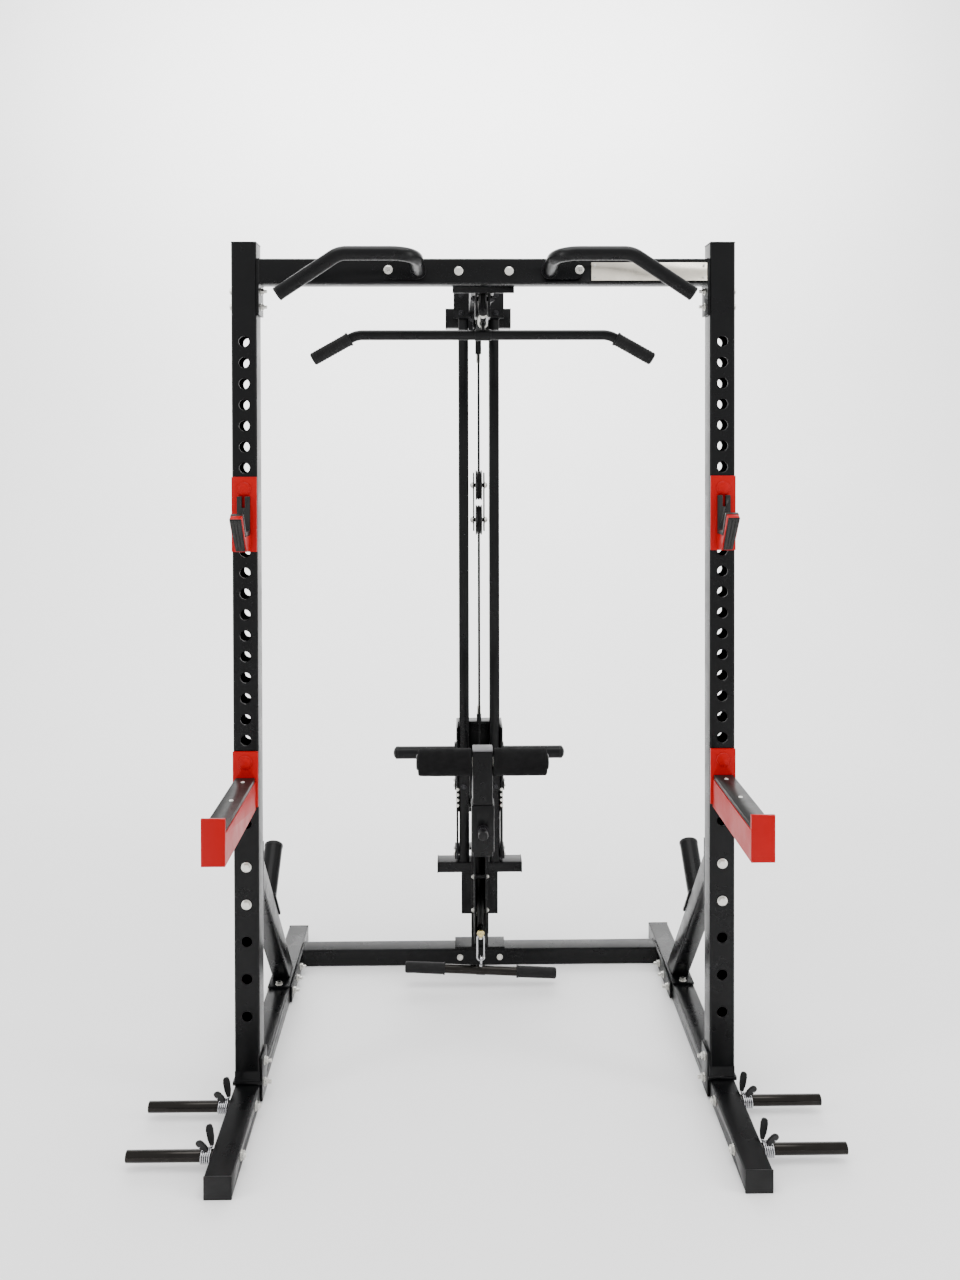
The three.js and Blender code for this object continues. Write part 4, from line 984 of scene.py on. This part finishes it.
def foam_roller(side, s):
    """Foam sleeve, slightly bulged, with soft rounded ends and a fine uneven skin."""
    length = 142.5
    profile = [(13.4, 4), (20, 1.0), (27, 0.4)]
    for k in range(7):
        angle = math.radians(15 * k)
        profile.append((29.5 + 6 * math.sin(angle), 6.4 - 6 * math.cos(angle)))
    for k in range(1, 24):
        share = k / 24
        profile.append((35.5 + 0.5 * math.sin(math.pi * share), 6.4 + (length - 12.8) * share))
    for k in range(7):
        angle = math.radians(90 - 15 * k)
        profile.append((29.5 + 6 * math.sin(angle), length - 6.4 + 6 * math.cos(angle)))
    profile += [(27, length - 0.4), (20, length - 1.0), (13.4, length - 4), (13.4, 4)]
    bm = bmesh.new()
    add_lathe(bm, profile, turn_to((s, 0, 0), at(s * 27, KNEE_Y, KNEE_Z)), 96)
    centre = at(0, KNEE_Y, KNEE_Z)
    for v in bm.verts:
        away = Vector((0, v.co.y - centre.y, v.co.z - centre.z))
        if away.length > 0.025:
            v.co -= away.normalized() * 0.0005 * (0.5 + 0.5 * noise.noise(v.co * 60))
    roller = finish_piece("foam_sleeve_" + side, mesh_of("foam", bm), FOAM, "foam_roller_" + side,
        60)
    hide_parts("foam_roller_" + side)


# ---------------------------------------------------------------- stage, light and camera
def camera():
    data = bpy.data.cameras.new("camera")
    data.lens = 29.89
    data.sensor_width = 36
    data.shift_x = 0.0054
    data.shift_y = -0.15
    eye = bpy.data.objects.new("camera", data)
    eye.location = at(-62.4, -2530.8, 1602.3)
    turn = Matrix.Rotation(math.radians(-0.81), 3, "Z")
    tilt = Matrix.Rotation(math.radians(90 - 0.705), 3, "X")
    roll = Matrix.Rotation(math.radians(-0.125), 3, "Z")
    eye.rotation_euler = (turn @ tilt @ roll).to_euler()
    bpy.context.scene.collection.objects.link(eye)
    bpy.context.scene.camera = eye


def stage():
    bm = bmesh.new()
    size, wall, radius = 14.0, 5.0, 3.0
    section = [(-size, 0), (wall - radius, 0)]
    section += [(wall - radius + radius * math.sin(a),
        radius - radius * math.cos(a)) for a in [math.radians(9 * k) for k in range(1, 11)]]
    section.append((wall, size))
    left = ring(bm, [Vector((-size, y, z)) for y, z in section])
    right = ring(bm, [Vector((size, y, z)) for y, z in section])
    stitch(bm, left, right, closed=False)
    n = Nodes("studio_floor")
    tone = n.ramp(n.noise(0.8, 3), [(0.3, (0.93, 0.93, 0.93)), (0.7, (0.96, 0.96, 0.96))])
    n.link(tone, n.shader.inputs["Base Color"])
    n.set(Roughness=0.6)
    floor = finish_piece("studio_floor", mesh_of("floor", bm), n.material, None, 60)


def area_light(name, position, target, size, power, colour=(1, 1, 1)):
    data = bpy.data.lights.new(name, "AREA")
    data.shape = "RECTANGLE"
    data.size, data.size_y = size
    data.energy = power
    data.color = colour
    lamp = bpy.data.objects.new(name, data)
    lamp.location = position
    lamp.rotation_euler = (Vector(target) - Vector(position)).to_track_quat("-Z", "Y").to_euler()
    bpy.context.scene.collection.objects.link(lamp)


def lights():
    area_light("overhead", (0, -0.6, 4.6), (0, 0, 1), (3.4, 2.4), 130)
    area_light("left_softbox", (-3.6, -2.0, 2.2), (0, 0, 1), (1.0, 3.0), 60)
    area_light("right_softbox", (3.6, -1.6, 2.2), (0, 0, 1), (1.0, 3.0), 70)
    area_light("wall_wash", (0, 2.6, 4.6), (0, 5, 3.6), (6.0, 1.5), 420)
    world = bpy.data.worlds.new("studio")
    world.use_nodes = True
    sky = world.node_tree.nodes["Background"]
    sky.inputs["Color"].default_value = (1, 1, 1, 1)
    sky.inputs["Strength"].default_value = 1.35
    bpy.context.scene.world = world


# ---------------------------------------------------------------- the whole rack
camera()
lights()
stage()
dress_frame()
for side, s in SIDES:
    holed_upright(side, s)
    pull_up_handle(side, s)
    storage_peg(side, s)
    for row, y in PEG_Y:
        band_peg(side, s, row, y)
        spring_collar(side, s, row, y)
frame_fasteners()
frame_welds()
head_cover()
trim()
pulley("pulley_top_front", TOP_FRONT_Y, TOP_Z)
pulley("pulley_top_rear", TOP_REAR_Y, TOP_Z)
pulley("pulley_block_upper", TOWER_Y, BLOCK_UPPER_Z)
pulley("pulley_block_lower", TOWER_Y, BLOCK_LOWER_Z)
pulley("pulley_low", TOP_REAR_Y, LOW_Z)
cables()
snap_hook("lat_snap", "lat_hook", "lat_hook", DROP_Y, LAT_Z + 16.5, 1903, 26, 3, ZINC, 1906, DROP_Y, 10,
    RUBBER)
snap_hook("row_snap", "row_hook", "row_hook", ROW_Y, ROW_Z + 24.6, 151, 26, 3, CHROME, 150, ROW_Y + 5, 11,
    BRASS)
lat_bar()
row_bar()
carriage()
knee_hold_down()
